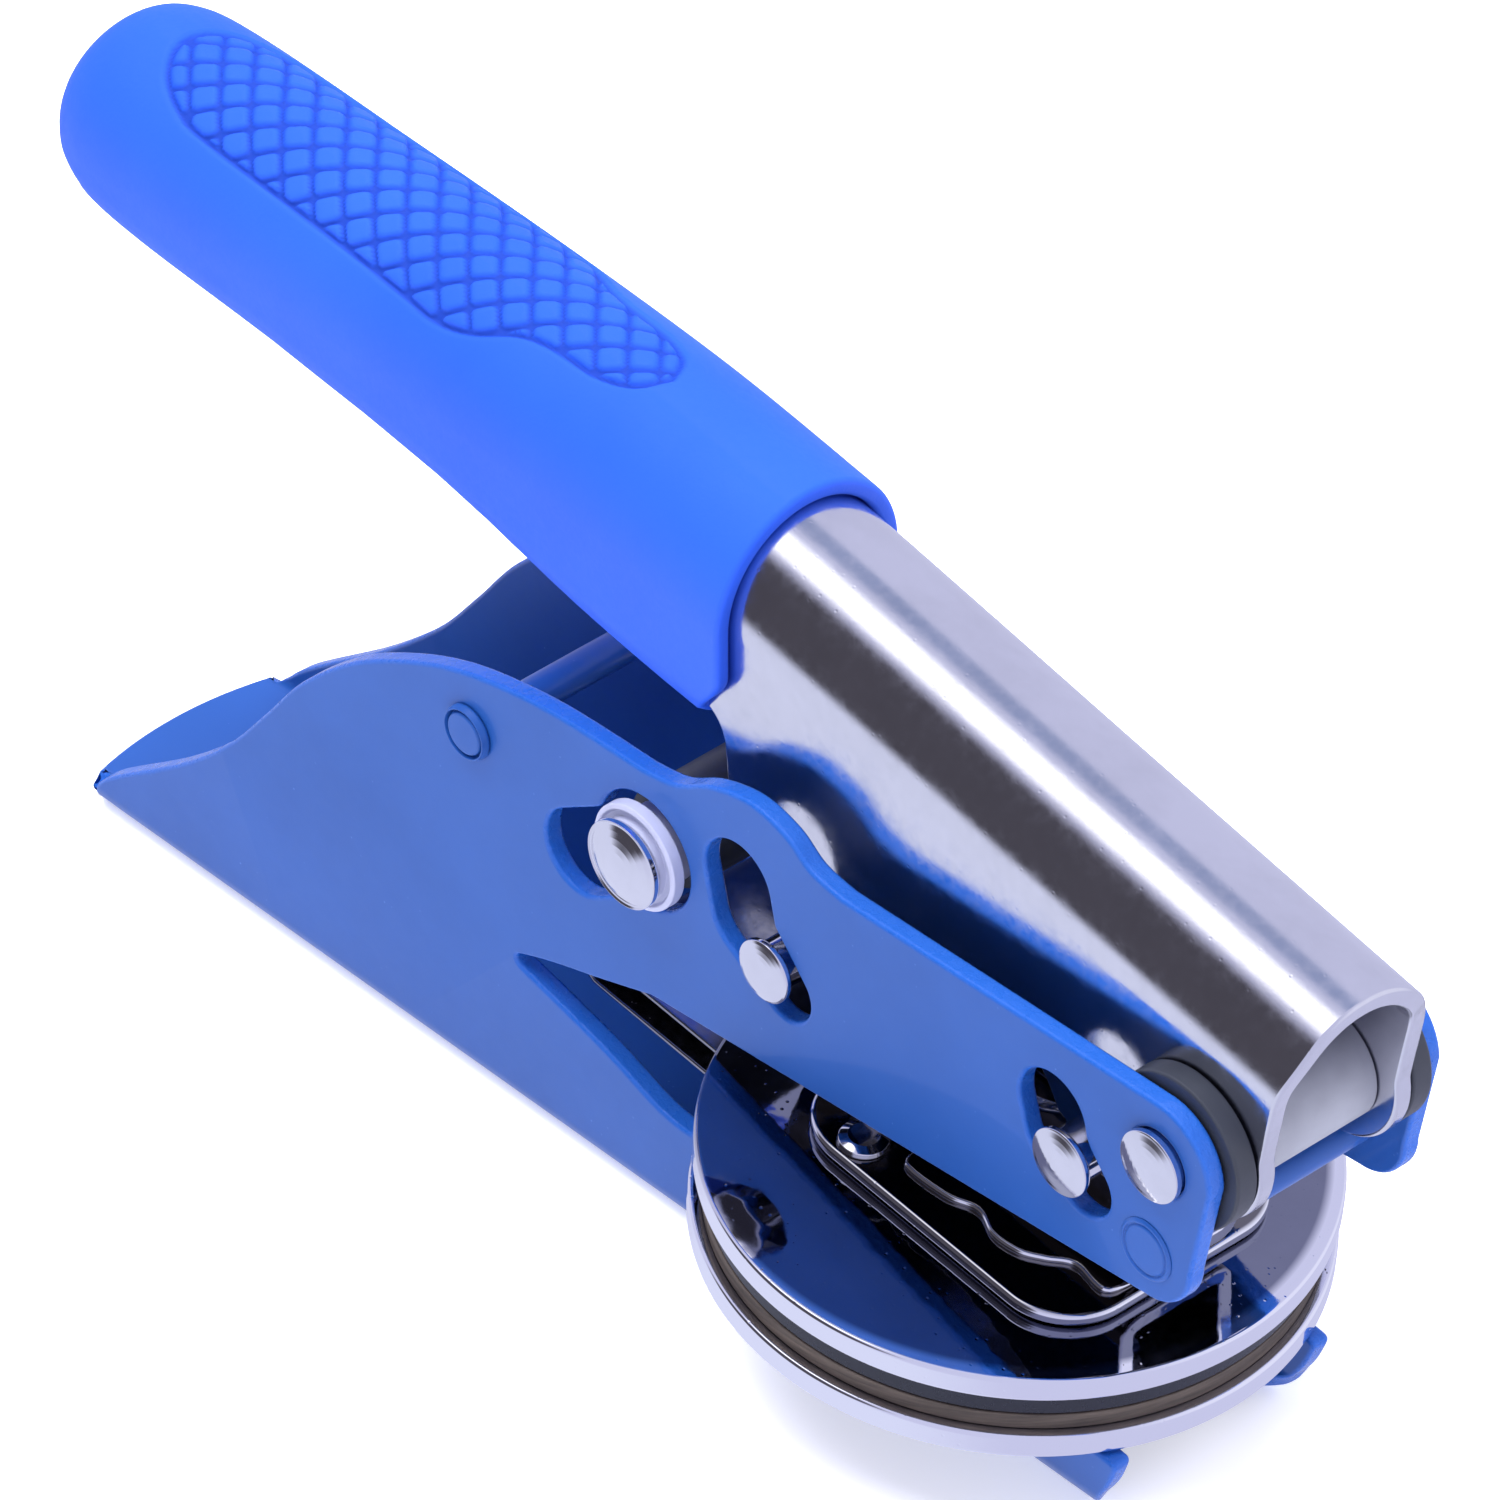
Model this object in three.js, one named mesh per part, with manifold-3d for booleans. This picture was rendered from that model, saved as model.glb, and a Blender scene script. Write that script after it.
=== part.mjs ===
// Hand-held lever press that embosses a round seal into paper.
// Millimetres, +Z up. The origin is on the underside of the base, below the die axis.
// +X points to the die end, +Y to the far side plate.
import * as THREE from "three";
import { mergeVertices } from "three/addons/utils/BufferGeometryUtils.js";
import Module from "manifold-3d";

const wasm = await Module();
wasm.setup();

// ---- driving dimensions ----------------------------------------------------
const FRAME = {
  halfWidth: 13, sheet: 2, bend: 3, foot: 9, creaseZ: 17.6,
  rearX: -104, bulge: 2.4, noseX: 25.5,
};
const PIVOT = { x: 30.2, z: 43, shank: 3, head: 3.3 };
const PRESS_PIN = { x: 19.9, z: 37.1, shank: 2.5, head: 3.15 };
const GUIDE_PIN = { x: -15.3, z: 35.7, shank: 2.2, head: 2.95 };
const LOCK = { x: -30.5, z: 38.9 };
const REAR_BAR = { x: -52.3, z: 38.8, r: 1.6 };
const FRONT_BAR = { x: 29.3, z: 33.4, r: 1.6 };
const BAR_SHANK = 1.25;
const BAR_FIT = 0.15;
// Slots through both walls, each a chain of circles.
const GUIDE_SLOT = [
  { x: -19.5, z: 42.1, r: 3.9 },
  { x: -18.6, z: 38.3, r: 3.8 },
  { x: -13.6, z: 34.2, r: 2.9 },
];
const PRESS_SLOT = [{ x: 18, z: 40.8, r: 3.8 }, { x: 18.6, z: 38.4, r: 3.7 }, { x: 21.9, z: 35.6, r: 3 }];
const LOCK_SLOT = [{ x: -39, z: 33.6, r: 4 }, { x: -30.5, z: 38.9, r: 3.99 }];
const CUT = 20;
const NOTCH = { endX: 9, half: 8.4, corner: 3 };
const LEVER = { halfWidth: 8.5, sheet: 1.5, rearX: -100.5 };
const GRIP = { halfWidth: 10.2, clearance: 0.3 };
const DISC = { r: 27, thick: 2.4, bottomZ: 10.4, tilt: 0.11, edge: 0.35 };
const DIE = { r: 26, flatX: -19.6, matrixThick: 1.3, dieThick: 2.2, relief: 0.4 };
const STACK = { gap: 0.15, faceGap: 4.1 };
const STRAP = { thick: 0.55, rearX: -42, frontX: -20.4, halfWidth: 10.3, wideHalf: 14 };
const STRAP_NECK = { x: -24, wideX: -22.4 };
const PLATE = { minX: -15, maxX: 19.4, halfWidth: 13.6, corner: 6.5, thick: 1.3, doubler: 0.6 };
const BRACKET = { outer: 6.4, sheet: 1.6 };
const STRAP_RIVET = { r: 1, head: 1.8, hole: 1.15, sink: 1.2 };
const PLATE_RIVET = { r: 1.25, head: 2.3, hole: 1.45, depth: 0.9 };
const HEAD = { gap: 0.25, thick: 1.25 };
const RUNNING = 0.08;
const SEG = 20;

// ---- materials -------------------------------------------------------------
function finish(color, roughness, metalness) {
  return new THREE.MeshStandardMaterial({ color, roughness, metalness });
}

const paint = finish(0x2f5fb8, 0.35, 0.1);
const chrome = finish(0xc9ccd6, 0.18, 1);
const mirror = finish(0xd6d9e4, 0.05, 1);
const rubber = finish(0x2d63dc, 0.75, 0);
const nylon = finish(0xd9dbe6, 0.5, 0);
const darkSteel = finish(0x34373f, 0.4, 0.8);
const springSteel = finish(0xa9abb2, 0.25, 1);
const resin = finish(0x14151f, 0.35, 0);
const fibre = finish(0x5a5048, 0.7, 0);

// ---- helpers ---------------------------------------------------------------
function solid(geometry) {
  geometry.deleteAttribute("normal");
  geometry.deleteAttribute("uv");
  const merged = mergeVertices(geometry, 1e-4);
  const vertProperties = new Float32Array(merged.attributes.position.array);
  const triVerts = new Uint32Array(merged.index.array);
  return new wasm.Manifold(new wasm.Mesh({ numProp: 3, vertProperties, triVerts }));
}

function geometryOf(body) {
  const mesh = body.getMesh();
  const geometry = new THREE.BufferGeometry();
  geometry.setAttribute("position", new THREE.BufferAttribute(new Float32Array(mesh.vertProperties), 3));
  geometry.setIndex(new THREE.BufferAttribute(new Uint32Array(mesh.triVerts), 1));
  geometry.computeVertexNormals();
  return geometry;
}

function node(name, body, material) {
  const geometry = body.isBufferGeometry ? body : geometryOf(body);
  const mesh = new THREE.Mesh(geometry, material);
  mesh.name = name;
  return mesh;
}

const extruded = (shape, depth, segments = 5) =>
  new THREE.ExtrudeGeometry(shape, { depth, bevelEnabled: false, curveSegments: segments });

// Prisms of an outline given in (x, z), (x, y) and (y, z).
function prismY(shape, y0, y1, segments) {
  const geometry = extruded(shape, y1 - y0, segments);
  geometry.rotateX(Math.PI / 2);
  geometry.translate(0, y1, 0);
  return solid(geometry);
}

function prismZ(shape, z0, z1, segments) {
  const geometry = extruded(shape, z1 - z0, segments);
  geometry.translate(0, 0, z0);
  return solid(geometry);
}

function prismX(shape, x0, x1, segments) {
  const geometry = extruded(shape, x1 - x0, segments);
  geometry.applyMatrix4(new THREE.Matrix4().set(0, 0, 1, x0, 1, 0, 0, 0, 0, 1, 0, 0, 0, 0, 0, 1));
  return solid(geometry);
}

// A turned piece. Its profile holds [radius, height] pairs, from axis to axis.
function turned(profile, segments = SEG) {
  const points = profile.map(([r, h]) => new THREE.Vector2(r, h));
  return new THREE.LatheGeometry(points, segments);
}

const turnedY = (profile, at, segments) => solid(turned(profile, segments).translate(at.x, 0, at.z));
const turnedZ = (profile, x, y, segments) =>
  solid(turned(profile, segments).rotateX(Math.PI / 2).translate(x, y, 0));

const rod = (at, r, y0, y1, segments) => turnedY([[0, y0], [r, y0], [r, y1], [0, y1]], at, segments);

function tube(at, outer, inner, y0, y1, segments) {
  return turnedY([[inner, y0], [outer, y0], [outer, y1], [inner, y1], [inner, y0]], at, segments);
}

function spline(shape, points) {
  shape.splineThru(points.map(([x, z]) => new THREE.Vector2(x, z)));
}

// The outline around two circles, for a slot or an ear.
function capsule(a, b) {
  const dx = b.x - a.x;
  const dz = b.z - a.z;
  const along = Math.atan2(dz, dx);
  const swing = Math.acos((a.r - b.r) / Math.hypot(dx, dz));
  const shape = new THREE.Shape();
  shape.absarc(a.x, a.z, a.r, along + swing, along - swing + 2 * Math.PI, false);
  shape.absarc(b.x, b.z, b.r, along - swing, along + swing, false);
  return shape;
}

// Cuts through both walls along a chain of circles.
function slotCuts(chain) {
  return chain.slice(1).map((circle, i) => prismY(capsule(chain[i], circle), -CUT, CUT, 6));
}

// ---- frame -----------------------------------------------------------------
function frameSection() {
  const { halfWidth: w, sheet, bend, foot, creaseZ } = FRAME;
  const shape = new THREE.Shape();
  const top = 56;
  shape.moveTo(-w, top);
  shape.lineTo(-w, creaseZ);
  shape.absarc(-foot, bend, bend, Math.PI, 1.5 * Math.PI, false);
  shape.absarc(foot, bend, bend, -0.5 * Math.PI, 0, false);
  shape.lineTo(w, creaseZ);
  shape.lineTo(w, top);
  shape.lineTo(w - sheet, top);
  shape.lineTo(w - sheet, creaseZ);
  shape.absarc(foot, bend, bend - sheet, 0, -0.5 * Math.PI, true);
  shape.absarc(-foot, bend, bend - sheet, 1.5 * Math.PI, Math.PI, true);
  shape.lineTo(-w + sheet, creaseZ);
  shape.lineTo(-w + sheet, top);
  return shape;
}

const seatZ = (x) => DISC.bottomZ - 0.35 - DISC.tilt * x;

function frameSide() {
  const shape = new THREE.Shape();
  const tailX = FRAME.rearX - FRAME.bulge - 1;
  shape.moveTo(tailX, -1);
  shape.lineTo(tailX, FRAME.sheet);
  shape.lineTo(-103.3, FRAME.sheet);
  spline(shape, [[-101, 4.7], [-91, 12.3], [-84, 18.7], [-79, 24.8], [-74, 31.2], [-67.5, 37.1],
    [-61, 41.1], [-54.8, 43.9], [-48.5, 45.6], [-41, 46.7], [-31, 47.1]]);
  spline(shape, [[-27, 47.9], [-22.7, 50.2], [-17.9, 51.3], [-13.6, 50.4], [-10.6, 48.5], [-7, 47.8]]);
  shape.absarc(PIVOT.x, PIVOT.z, 6, 0.5 * Math.PI, 0, true);
  shape.absarc(FRONT_BAR.x, FRONT_BAR.z, 4.9, 0, -0.5 * Math.PI, true);
  shape.lineTo(-30, 23.7);
  spline(shape, [[-36.4, 21.6], [-42.6, 19.7], [-46.6, 18.2]]);
  spline(shape, [[-47.3, 17.6], [-46.4, 17]]);
  spline(shape, [[-36.4, 14.2], [-29.5, 11.6], [-25.4, 11.2]]);
  shape.lineTo(-24.6, seatZ(-24.6));
  shape.lineTo(FRAME.noseX, seatZ(FRAME.noseX));
  spline(shape, [[24.3, 4.3], [22.6, 1.6], [20.9, 0.5], [18.5, 0.1], [15, -1]]);
  return shape;
}

// Seen from above, the rear edge of the floor bulges out in a shallow arc.
function framePlan() {
  const { halfWidth: w, rearX, bulge } = FRAME;
  const r = (w * w + bulge * bulge) / (2 * bulge);
  const half = Math.asin(w / r);
  const shape = new THREE.Shape();
  shape.moveTo(40, -w - 1);
  shape.lineTo(40, w + 1);
  shape.lineTo(rearX, w + 1);
  shape.absarc(rearX - bulge + r, 0, r, Math.PI - half, Math.PI + half, false);
  shape.lineTo(rearX, -w - 1);
  return shape;
}

// The floor is cut back between the two toes at the front.
function toeNotch() {
  const { endX, half, corner } = NOTCH;
  const shape = new THREE.Shape();
  shape.moveTo(40, half);
  shape.absarc(endX + corner, half - corner, corner, 0.5 * Math.PI, Math.PI, false);
  shape.absarc(endX + corner, corner - half, corner, Math.PI, 1.5 * Math.PI, false);
  shape.lineTo(40, -half);
  return shape;
}

function frameChannel() {
  const section = prismX(frameSection(), FRAME.rearX - FRAME.bulge - 1, 40, 3);
  const side = prismY(frameSide(), -16, 16, 3).intersect(prismZ(framePlan(), -2, 60, 10));
  const cuts = [
    ...slotCuts(GUIDE_SLOT),
    ...slotCuts(PRESS_SLOT),
    ...slotCuts(LOCK_SLOT),
    rod(LOCK, LOCK_SLOT[1].r + 1.5, -CUT, CUT),
    rod(PIVOT, PIVOT.shank + RUNNING, -CUT, CUT),
    rod(REAR_BAR, BAR_SHANK + BAR_FIT, -CUT, CUT),
    rod(FRONT_BAR, BAR_SHANK + BAR_FIT, -CUT, CUT),
    prismZ(toeNotch(), -1, FRAME.sheet + 1),
  ];
  return cuts.reduce((body, cut) => body.subtract(cut), section.intersect(side));
}

// A cross bar: a thick middle between the walls and a flat rivet head on each end.
function crossBar(bar, headR, headThick) {
  const inside = FRAME.halfWidth - FRAME.sheet - BAR_FIT;
  const wall = FRAME.halfWidth + BAR_FIT;
  const shoulder = [[bar.r, inside], [BAR_SHANK, inside], [BAR_SHANK, wall]];
  const half = [...shoulder, [headR, wall], [headR - 0.25, wall + headThick]];
  const mirrored = half.map(([r, y]) => [r, -y]).reverse();
  const end = wall + headThick;
  return turnedY([[0, -end], ...mirrored, ...half, [0, end]], bar);
}

// ---- lever -----------------------------------------------------------------
const curveOf = (points) => new THREE.SplineCurve(points.map(([x, z]) => new THREE.Vector2(x, z)));
const crownPath = curveOf([[44, 57.9], [10, 64.2], [-26, 70.9], [-42, 73], [-60, 74.2], [-80, 74.6],
  [-103, 74.4]]);

// Closed ring sections, all with the same number of points, joined into one solid.
function loft(rings) {
  const count = rings[0].length;
  const positions = rings.flat().flatMap((p) => [p.x, p.y, p.z]);
  const index = [];
  for (let i = 0; i < rings.length - 1; i++) {
    for (let j = 0; j < count; j++) {
      const a = i * count + j;
      const b = i * count + ((j + 1) % count);
      index.push(a, b, a + count, b, b + count, a + count);
    }
  }
  const flat = rings[0].map((p) => new THREE.Vector2(p.y, p.z));
  const last = (rings.length - 1) * count;
  for (const [a, b, c] of THREE.ShapeUtils.triangulateShape(flat, [])) {
    index.push(c, b, a, last + a, last + b, last + c);
  }
  const geometry = new THREE.BufferGeometry();
  geometry.setAttribute("position", new THREE.Float32BufferAttribute(positions, 3));
  geometry.setIndex(index);
  return solid(geometry);
}

// The arch of the lever: a half round of the given half width, with straight walls below it.
function archRing(x, crownZ, half, floorZ) {
  const ring = [new THREE.Vector3(x, half, floorZ)];
  const steps = 12;
  for (let i = 0; i <= steps; i++) {
    const angle = (Math.PI * i) / steps;
    ring.push(new THREE.Vector3(x, half * Math.cos(angle), crownZ - half + half * Math.sin(angle)));
  }
  ring.push(new THREE.Vector3(x, -half, floorZ));
  return ring;
}

function archBody(inset, rearX, frontX, floorZ) {
  const rings = crownPath.getSpacedPoints(11).reverse()
    .map((p) => archRing(p.x, p.y - inset, LEVER.halfWidth - inset, floorZ));
  const box = new THREE.BoxGeometry(frontX - rearX, 60, 120).translate((frontX + rearX) / 2, 0, 50);
  return loft(rings).intersect(solid(box));
}

function leverSide() {
  const shape = new THREE.Shape();
  shape.moveTo(LEVER.rearX, 80);
  shape.lineTo(LEVER.rearX, 64.2);
  spline(shape, [[-80, 62.4], [-64, 60.3], [-48, 57.2], [-38, 55], [-30.5, 53.8]]);
  spline(shape, [[-27.6, 53], [-26.1, 51], [-25.7, 47.5]]);
  shape.absarc(-23.7, 46.5, 2, Math.PI, 1.5 * Math.PI, false);
  shape.lineTo(6, 41.5);
  spline(shape, [[11.5, 39.5], [14.2, 35.6]]);
  shape.absarc(PRESS_PIN.x, PRESS_PIN.z, 4.9, 1.1 * Math.PI, 1.72 * Math.PI, false);
  shape.absarc(PIVOT.x, PIVOT.z, 7.3, 1.35 * Math.PI, 2.06 * Math.PI, false);
  spline(shape, [[38.2, 48.6], [38.9, 51.8], [40, 55.5], [40.4, 60], [40.6, 80]]);
  return shape;
}

function leverChannel() {
  const outer = archBody(0, LEVER.rearX, 44, 20);
  const inner = archBody(LEVER.sheet, LEVER.rearX + 1.5, 50, 10);
  return outer.subtract(inner)
    .intersect(prismY(leverSide(), -12, 12, 3))
    .subtract(rod(PIVOT, PIVOT.shank + RUNNING, -CUT, CUT))
    .subtract(rod(PRESS_PIN, PRESS_PIN.shank + 0.3, -CUT, CUT));
}

// ---- grip ------------------------------------------------------------------
// The grip's top, underside and half width along its length, from the tail to the mouth.
const gripTop = curveOf([[-111.4, 71.2], [-110.7, 73.8], [-107.8, 76.3], [-100.5, 77], [-80, 76.7],
  [-60, 76.1], [-42, 74.9], [-25.5, 72.6]]);
const gripBottom = curveOf([[-111.4, 66.8], [-110.7, 64.9], [-107.8, 62.8], [-100.5, 61.4], [-80, 60],
  [-60, 57.7], [-42, 53.9], [-25.5, 51.8]]);
const gripHalf = curveOf([[-111.4, 3.6], [-110.7, 6.4], [-107.8, 9.1], [-100.5, 10.1], [-80, GRIP.halfWidth],
  [-60, GRIP.halfWidth], [-42, GRIP.halfWidth], [-25.5, GRIP.halfWidth]]);

function gripRing(t) {
  const top = gripTop.getPoint(t);
  const bottom = gripBottom.getPoint(t).y;
  const half = gripHalf.getPoint(t).y;
  const crown = Math.min(half, (top.y - bottom) * 0.62);
  const lower = Math.min(4.2, (top.y - bottom) * 0.35, half * 0.8);
  const ring = [];
  const arc = (cy, cz, ry, rz, from, to, steps) => {
    for (let i = 0; i <= steps; i++) {
      const angle = from + ((to - from) * i) / steps;
      ring.push(new THREE.Vector3(top.x, cy + ry * Math.cos(angle), cz + rz * Math.sin(angle)));
    }
  };
  arc(0, top.y - crown, half, crown, 0, Math.PI, 16);
  arc(lower - half, bottom + lower, lower, lower, Math.PI, 1.5 * Math.PI, 4);
  arc(half - lower, bottom + lower, lower, lower, 1.5 * Math.PI, 2 * Math.PI, 4);
  return ring;
}

function grip() {
  const rings = [];
  const steps = 18;
  for (let i = 0; i <= steps; i++) rings.push(gripRing(i / steps));
  const pocket = archBody(-GRIP.clearance, LEVER.rearX - GRIP.clearance, 0, 20);
  const reach = new THREE.Shape();
  reach.moveTo(-112, 90);
  reach.lineTo(-112, 64);
  spline(reach, [[-100, 63.8], [-80, 61.9], [-64, 59.8], [-48, 56.6], [-38, 54.4], [-30, 53.1], [-20, 52.9]]);
  reach.lineTo(-20, 90);
  const lip = new THREE.Shape();
  lip.moveTo(-20, 58);
  lip.lineTo(-25.4, 58);
  spline(lip, [[-26.2, 56.2], [-28, 54.4], [-28.5, 50]]);
  lip.lineTo(-20, 50);
  return loft(rings)
    .subtract(pocket.intersect(prismY(reach, -14, 14, 3)))
    .subtract(prismY(lip, -14, 14, 4));
}

// ---- pins and bushes -------------------------------------------------------
// A polished pin with a low domed head outside each frame wall.
function headedPin(at, shank, headR, thick = HEAD.thick, reach = FRAME.halfWidth + HEAD.gap) {
  const dome = [[headR, 0], [headR, 0.55 * thick], [headR * 0.9, 0.85 * thick], [headR * 0.7, thick]];
  const far = dome.map(([r, y]) => [r, reach + y]);
  const near = dome.map(([r, y]) => [r, -reach - y]).reverse();
  const end = reach + thick;
  return turnedY([[0, -end], ...near, [shank, -reach], [shank, reach], ...far, [0, end]], at);
}

function lockCollar(side) {
  const { halfWidth: w, sheet } = FRAME;
  const inner = w - sheet - 0.2;
  const profile = [[2.75, inner], [3.6, inner], [3.6, w + 0.25], [4.95, w + 0.25], [4.95, w + 1.2],
    [4.6, w + 1.5], [3.9, w + 1.5], [3.9, w + 1.9], [2.75, w + 1.9], [2.75, inner]];
  const placed = side > 0 ? profile : profile.map(([r, y]) => [r, -y]).reverse();
  return turnedY(placed, LOCK);
}

// ---- die insert, in the tilted frame of the lower disc ----------------------
const UPPER_Z = DISC.thick + STACK.faceGap;
const FOOT_Z = UPPER_Z + DISC.thick + STACK.gap;

function disc(z0, holes) {
  const { r, thick, edge } = DISC;
  const rim = [[r - edge, 0], [r, edge], [r, thick - edge], [r - edge, thick]];
  const profile = [[0, 0], ...rim, [0, thick]];
  const body = turnedZ(profile.map(([q, h]) => [q, h + z0]), 0, 0, 56);
  return holes.reduce((rest, cut) => rest.subtract(cut), body);
}

function dieOutline(r) {
  const half = Math.acos(DIE.flatX / r);
  const shape = new THREE.Shape();
  shape.absarc(0, 0, r, -half, half, false);
  return shape;
}

// Plain rings stand in for the seal's design.
function ringRelief(z0, z1) {
  return [[9, 10.5], [15, 16]].map(([inner, outer]) =>
    turnedZ([[inner, z0], [outer, z0], [outer, z1], [inner, z1], [inner, z0]], 0, 0, 28));
}

const strapRivets = [[-23.2, -6], [-23.2, 6]];
const plateRivets = [[-7.5, -10.9], [-7.5, 10.9]];
const postZ = (x, y, r, z0, z1) => turnedZ([[0, z0], [r, z0], [r, z1], [0, z1]], x, y, 20);

function strap() {
  const { thick, rearX, frontX, halfWidth, wideHalf } = STRAP;
  const { x: neckX, wideX } = STRAP_NECK;
  const low = DISC.thick + STACK.gap;
  const high = UPPER_Z - STACK.gap;
  const middle = (low + high) / 2;
  const bend = (high - low) / 2;
  const shape = new THREE.Shape();
  shape.moveTo(frontX, low);
  shape.absarc(rearX + bend, middle, bend, 1.5 * Math.PI, 0.5 * Math.PI, true);
  shape.lineTo(frontX, high);
  shape.lineTo(frontX, high - thick);
  shape.absarc(rearX + bend, middle, bend - thick, 0.5 * Math.PI, 1.5 * Math.PI, false);
  shape.lineTo(frontX, low + thick);
  const outline = new THREE.Shape();
  outline.moveTo(frontX, -wideHalf);
  outline.lineTo(frontX, wideHalf);
  outline.lineTo(wideX, wideHalf);
  outline.lineTo(neckX, halfWidth);
  outline.lineTo(rearX - 1, halfWidth);
  outline.lineTo(rearX - 1, -halfWidth);
  outline.lineTo(neckX, -halfWidth);
  outline.lineTo(wideX, -wideHalf);
  const band = prismY(shape, -16, 16, 5).intersect(prismZ(outline, 0, 12));
  return strapRivets.reduce((body, [x, y]) => body.subtract(postZ(x, y, STRAP_RIVET.hole, 0, 12)), band);
}

function strapRivet([x, y], up) {
  const gap = STACK.gap;
  const face = up ? UPPER_Z : DISC.thick;
  const sign = up ? 1 : -1;
  const inner = face - sign * (gap * 2 + STRAP.thick);
  const { r, head, sink } = STRAP_RIVET;
  const buried = face + sign * sink;
  const crown = inner - sign * 0.5;
  const profile = [[0, buried], [r, buried], [r, inner], [head, inner], [head - 0.2, crown], [0, crown]];
  return turnedZ(up ? profile.reverse() : profile, x, y, 16);
}

// ---- presser ---------------------------------------------------------------
function roundedRect(x0, x1, half, r) {
  const shape = new THREE.Shape();
  shape.moveTo(x0 + r, -half);
  shape.absarc(x1 - r, -half + r, r, -0.5 * Math.PI, 0, false);
  shape.absarc(x1 - r, half - r, r, 0, 0.5 * Math.PI, false);
  shape.absarc(x0 + r, half - r, r, 0.5 * Math.PI, Math.PI, false);
  shape.absarc(x0 + r, -half + r, r, Math.PI, 1.5 * Math.PI, false);
  return shape;
}

function doublerOutline() {
  const half = [[18, 7], [14, 7.2], [12, 8.7], [10, 9.9], [7.2, 10.2], [4.4, 9.2], [1.5, 10.2],
    [-3.4, 10.3], [-4.6, 7.9], [-12.4, 7.4]];
  const shape = new THREE.Shape();
  shape.moveTo(18.4, 0);
  spline(shape, half);
  shape.lineTo(-13.2, 0);
  shape.lineTo(-12.4, -7.4);
  spline(shape, half.slice(0, -1).reverse().map(([x, y]) => [x, -y]));
  return shape;
}

const tiltDegrees = THREE.MathUtils.radToDeg(DISC.tilt);
const toWorld = (body) => body.rotate([0, tiltDegrees, 0]).translate([0, 0, DISC.bottomZ]);

// The foot plate and its doubler lie on the upper disc; two cheeks rise from them to the pins.
function presserBracket() {
  const { minX, maxX, halfWidth, corner, thick } = PLATE;
  const plate = prismZ(roundedRect(minX, maxX, halfWidth, corner), FOOT_Z, FOOT_Z + thick);
  const doubler = prismZ(doublerOutline(), FOOT_Z + 0.5, FOOT_Z + thick + PLATE.doubler, 3);
  const cheekSide = new THREE.Shape();
  cheekSide.moveTo(-17.5, 23.2);
  cheekSide.lineTo(20.5, 18.8);
  cheekSide.lineTo(24.2, 35.5);
  cheekSide.absarc(PRESS_PIN.x, PRESS_PIN.z, 4.6, -0.1 * Math.PI, 0.8 * Math.PI, false);
  spline(cheekSide, [[12, 33.5], [4, 31.2], [-6, 31.6]]);
  cheekSide.absarc(GUIDE_PIN.x, GUIDE_PIN.z, 4.3, 0.12 * Math.PI, 1.06 * Math.PI, false);
  const { outer, sheet } = BRACKET;
  const cheeks = prismY(cheekSide, -outer, outer, 4)
    .subtract(prismY(cheekSide, sheet - outer, outer - sheet, 4).translate([0, 0, 3.2]))
    .subtract(solid(new THREE.BoxGeometry(80, 2 * (outer - sheet), 40).translate(0, 0, 45.2)));
  const body = toWorld(plate.add(doubler)).add(cheeks);
  const bores = [PRESS_PIN, GUIDE_PIN].map((pin) => rod(pin, pin.shank + 0.12, -9, 9));
  const rivets = plateRivets.map(([x, y]) => toWorld(postZ(x, y, PLATE_RIVET.hole, 0, 20)));
  return [...bores, ...rivets].reduce((rest, cut) => rest.subtract(cut), body);
}

function plateRivet([x, y]) {
  const { r, head, depth } = PLATE_RIVET;
  const seat = FOOT_Z + PLATE.thick + STACK.gap;
  const shank = [[0, UPPER_Z + depth], [r, UPPER_Z + depth], [r, seat]];
  const crown = [[head, seat], [head - 0.1, seat + 0.4], [head - 0.8, seat + 0.8], [0, seat + 0.9]];
  const profile = [...shank, ...crown];
  return turnedZ(profile, x, y, 20);
}

// ---- assembly --------------------------------------------------------------
const press = new THREE.Group();
// The washers fill the space between the lever's walls and the frame's walls.
const washerIn = LEVER.halfWidth + 0.15;
const washerOut = FRAME.halfWidth - FRAME.sheet - 0.15;
const washer = (y0, y1) => tube(PIVOT, 7.2, PIVOT.shank + 0.1, y0, y1);
const lockInside = FRAME.halfWidth - FRAME.sheet - 0.5;
press.add(
  node("frame_channel", frameChannel(), paint),
  node("rear_cross_bar", crossBar(REAR_BAR, 2.6, 0.7), paint),
  node("front_cross_bar", crossBar(FRONT_BAR, 2.8, 0.3), paint),
  node("lever_channel", leverChannel(), chrome),
  node("grip", grip(), rubber),
  node("pivot_pin", headedPin(PIVOT, PIVOT.shank, PIVOT.head), mirror),
  node("pivot_sleeve", tube(PIVOT, 5.2, PIVOT.shank + 0.1, -6.85, 6.85), nylon),
  node("near_pivot_washer", washer(-washerOut, -washerIn), darkSteel),
  node("far_pivot_washer", washer(washerIn, washerOut), darkSteel),
  node("press_pin", headedPin(PRESS_PIN, PRESS_PIN.shank, PRESS_PIN.head), mirror),
  node("guide_pin", headedPin(GUIDE_PIN, GUIDE_PIN.shank, GUIDE_PIN.head), mirror),
  node("press_roller", tube(PRESS_PIN, 3.6, PRESS_PIN.shank + 0.1, -4.6, 4.6), springSteel),
  node("guide_spacer", tube(GUIDE_PIN, 3.2, GUIDE_PIN.shank + 0.1, -4.6, 4.6), springSteel),
  node("lock_pin", headedPin(LOCK, 2.6, 4.1, 1.4, FRAME.halfWidth + 2.1), mirror),
  node("near_lock_collar", lockCollar(-1), nylon),
  node("far_lock_collar", lockCollar(1), nylon),
  node("lock_spacer", tube(LOCK, 4.6, 2.75, -lockInside, lockInside), darkSteel),
  node("presser_bracket", presserBracket(), mirror),
);

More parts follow.
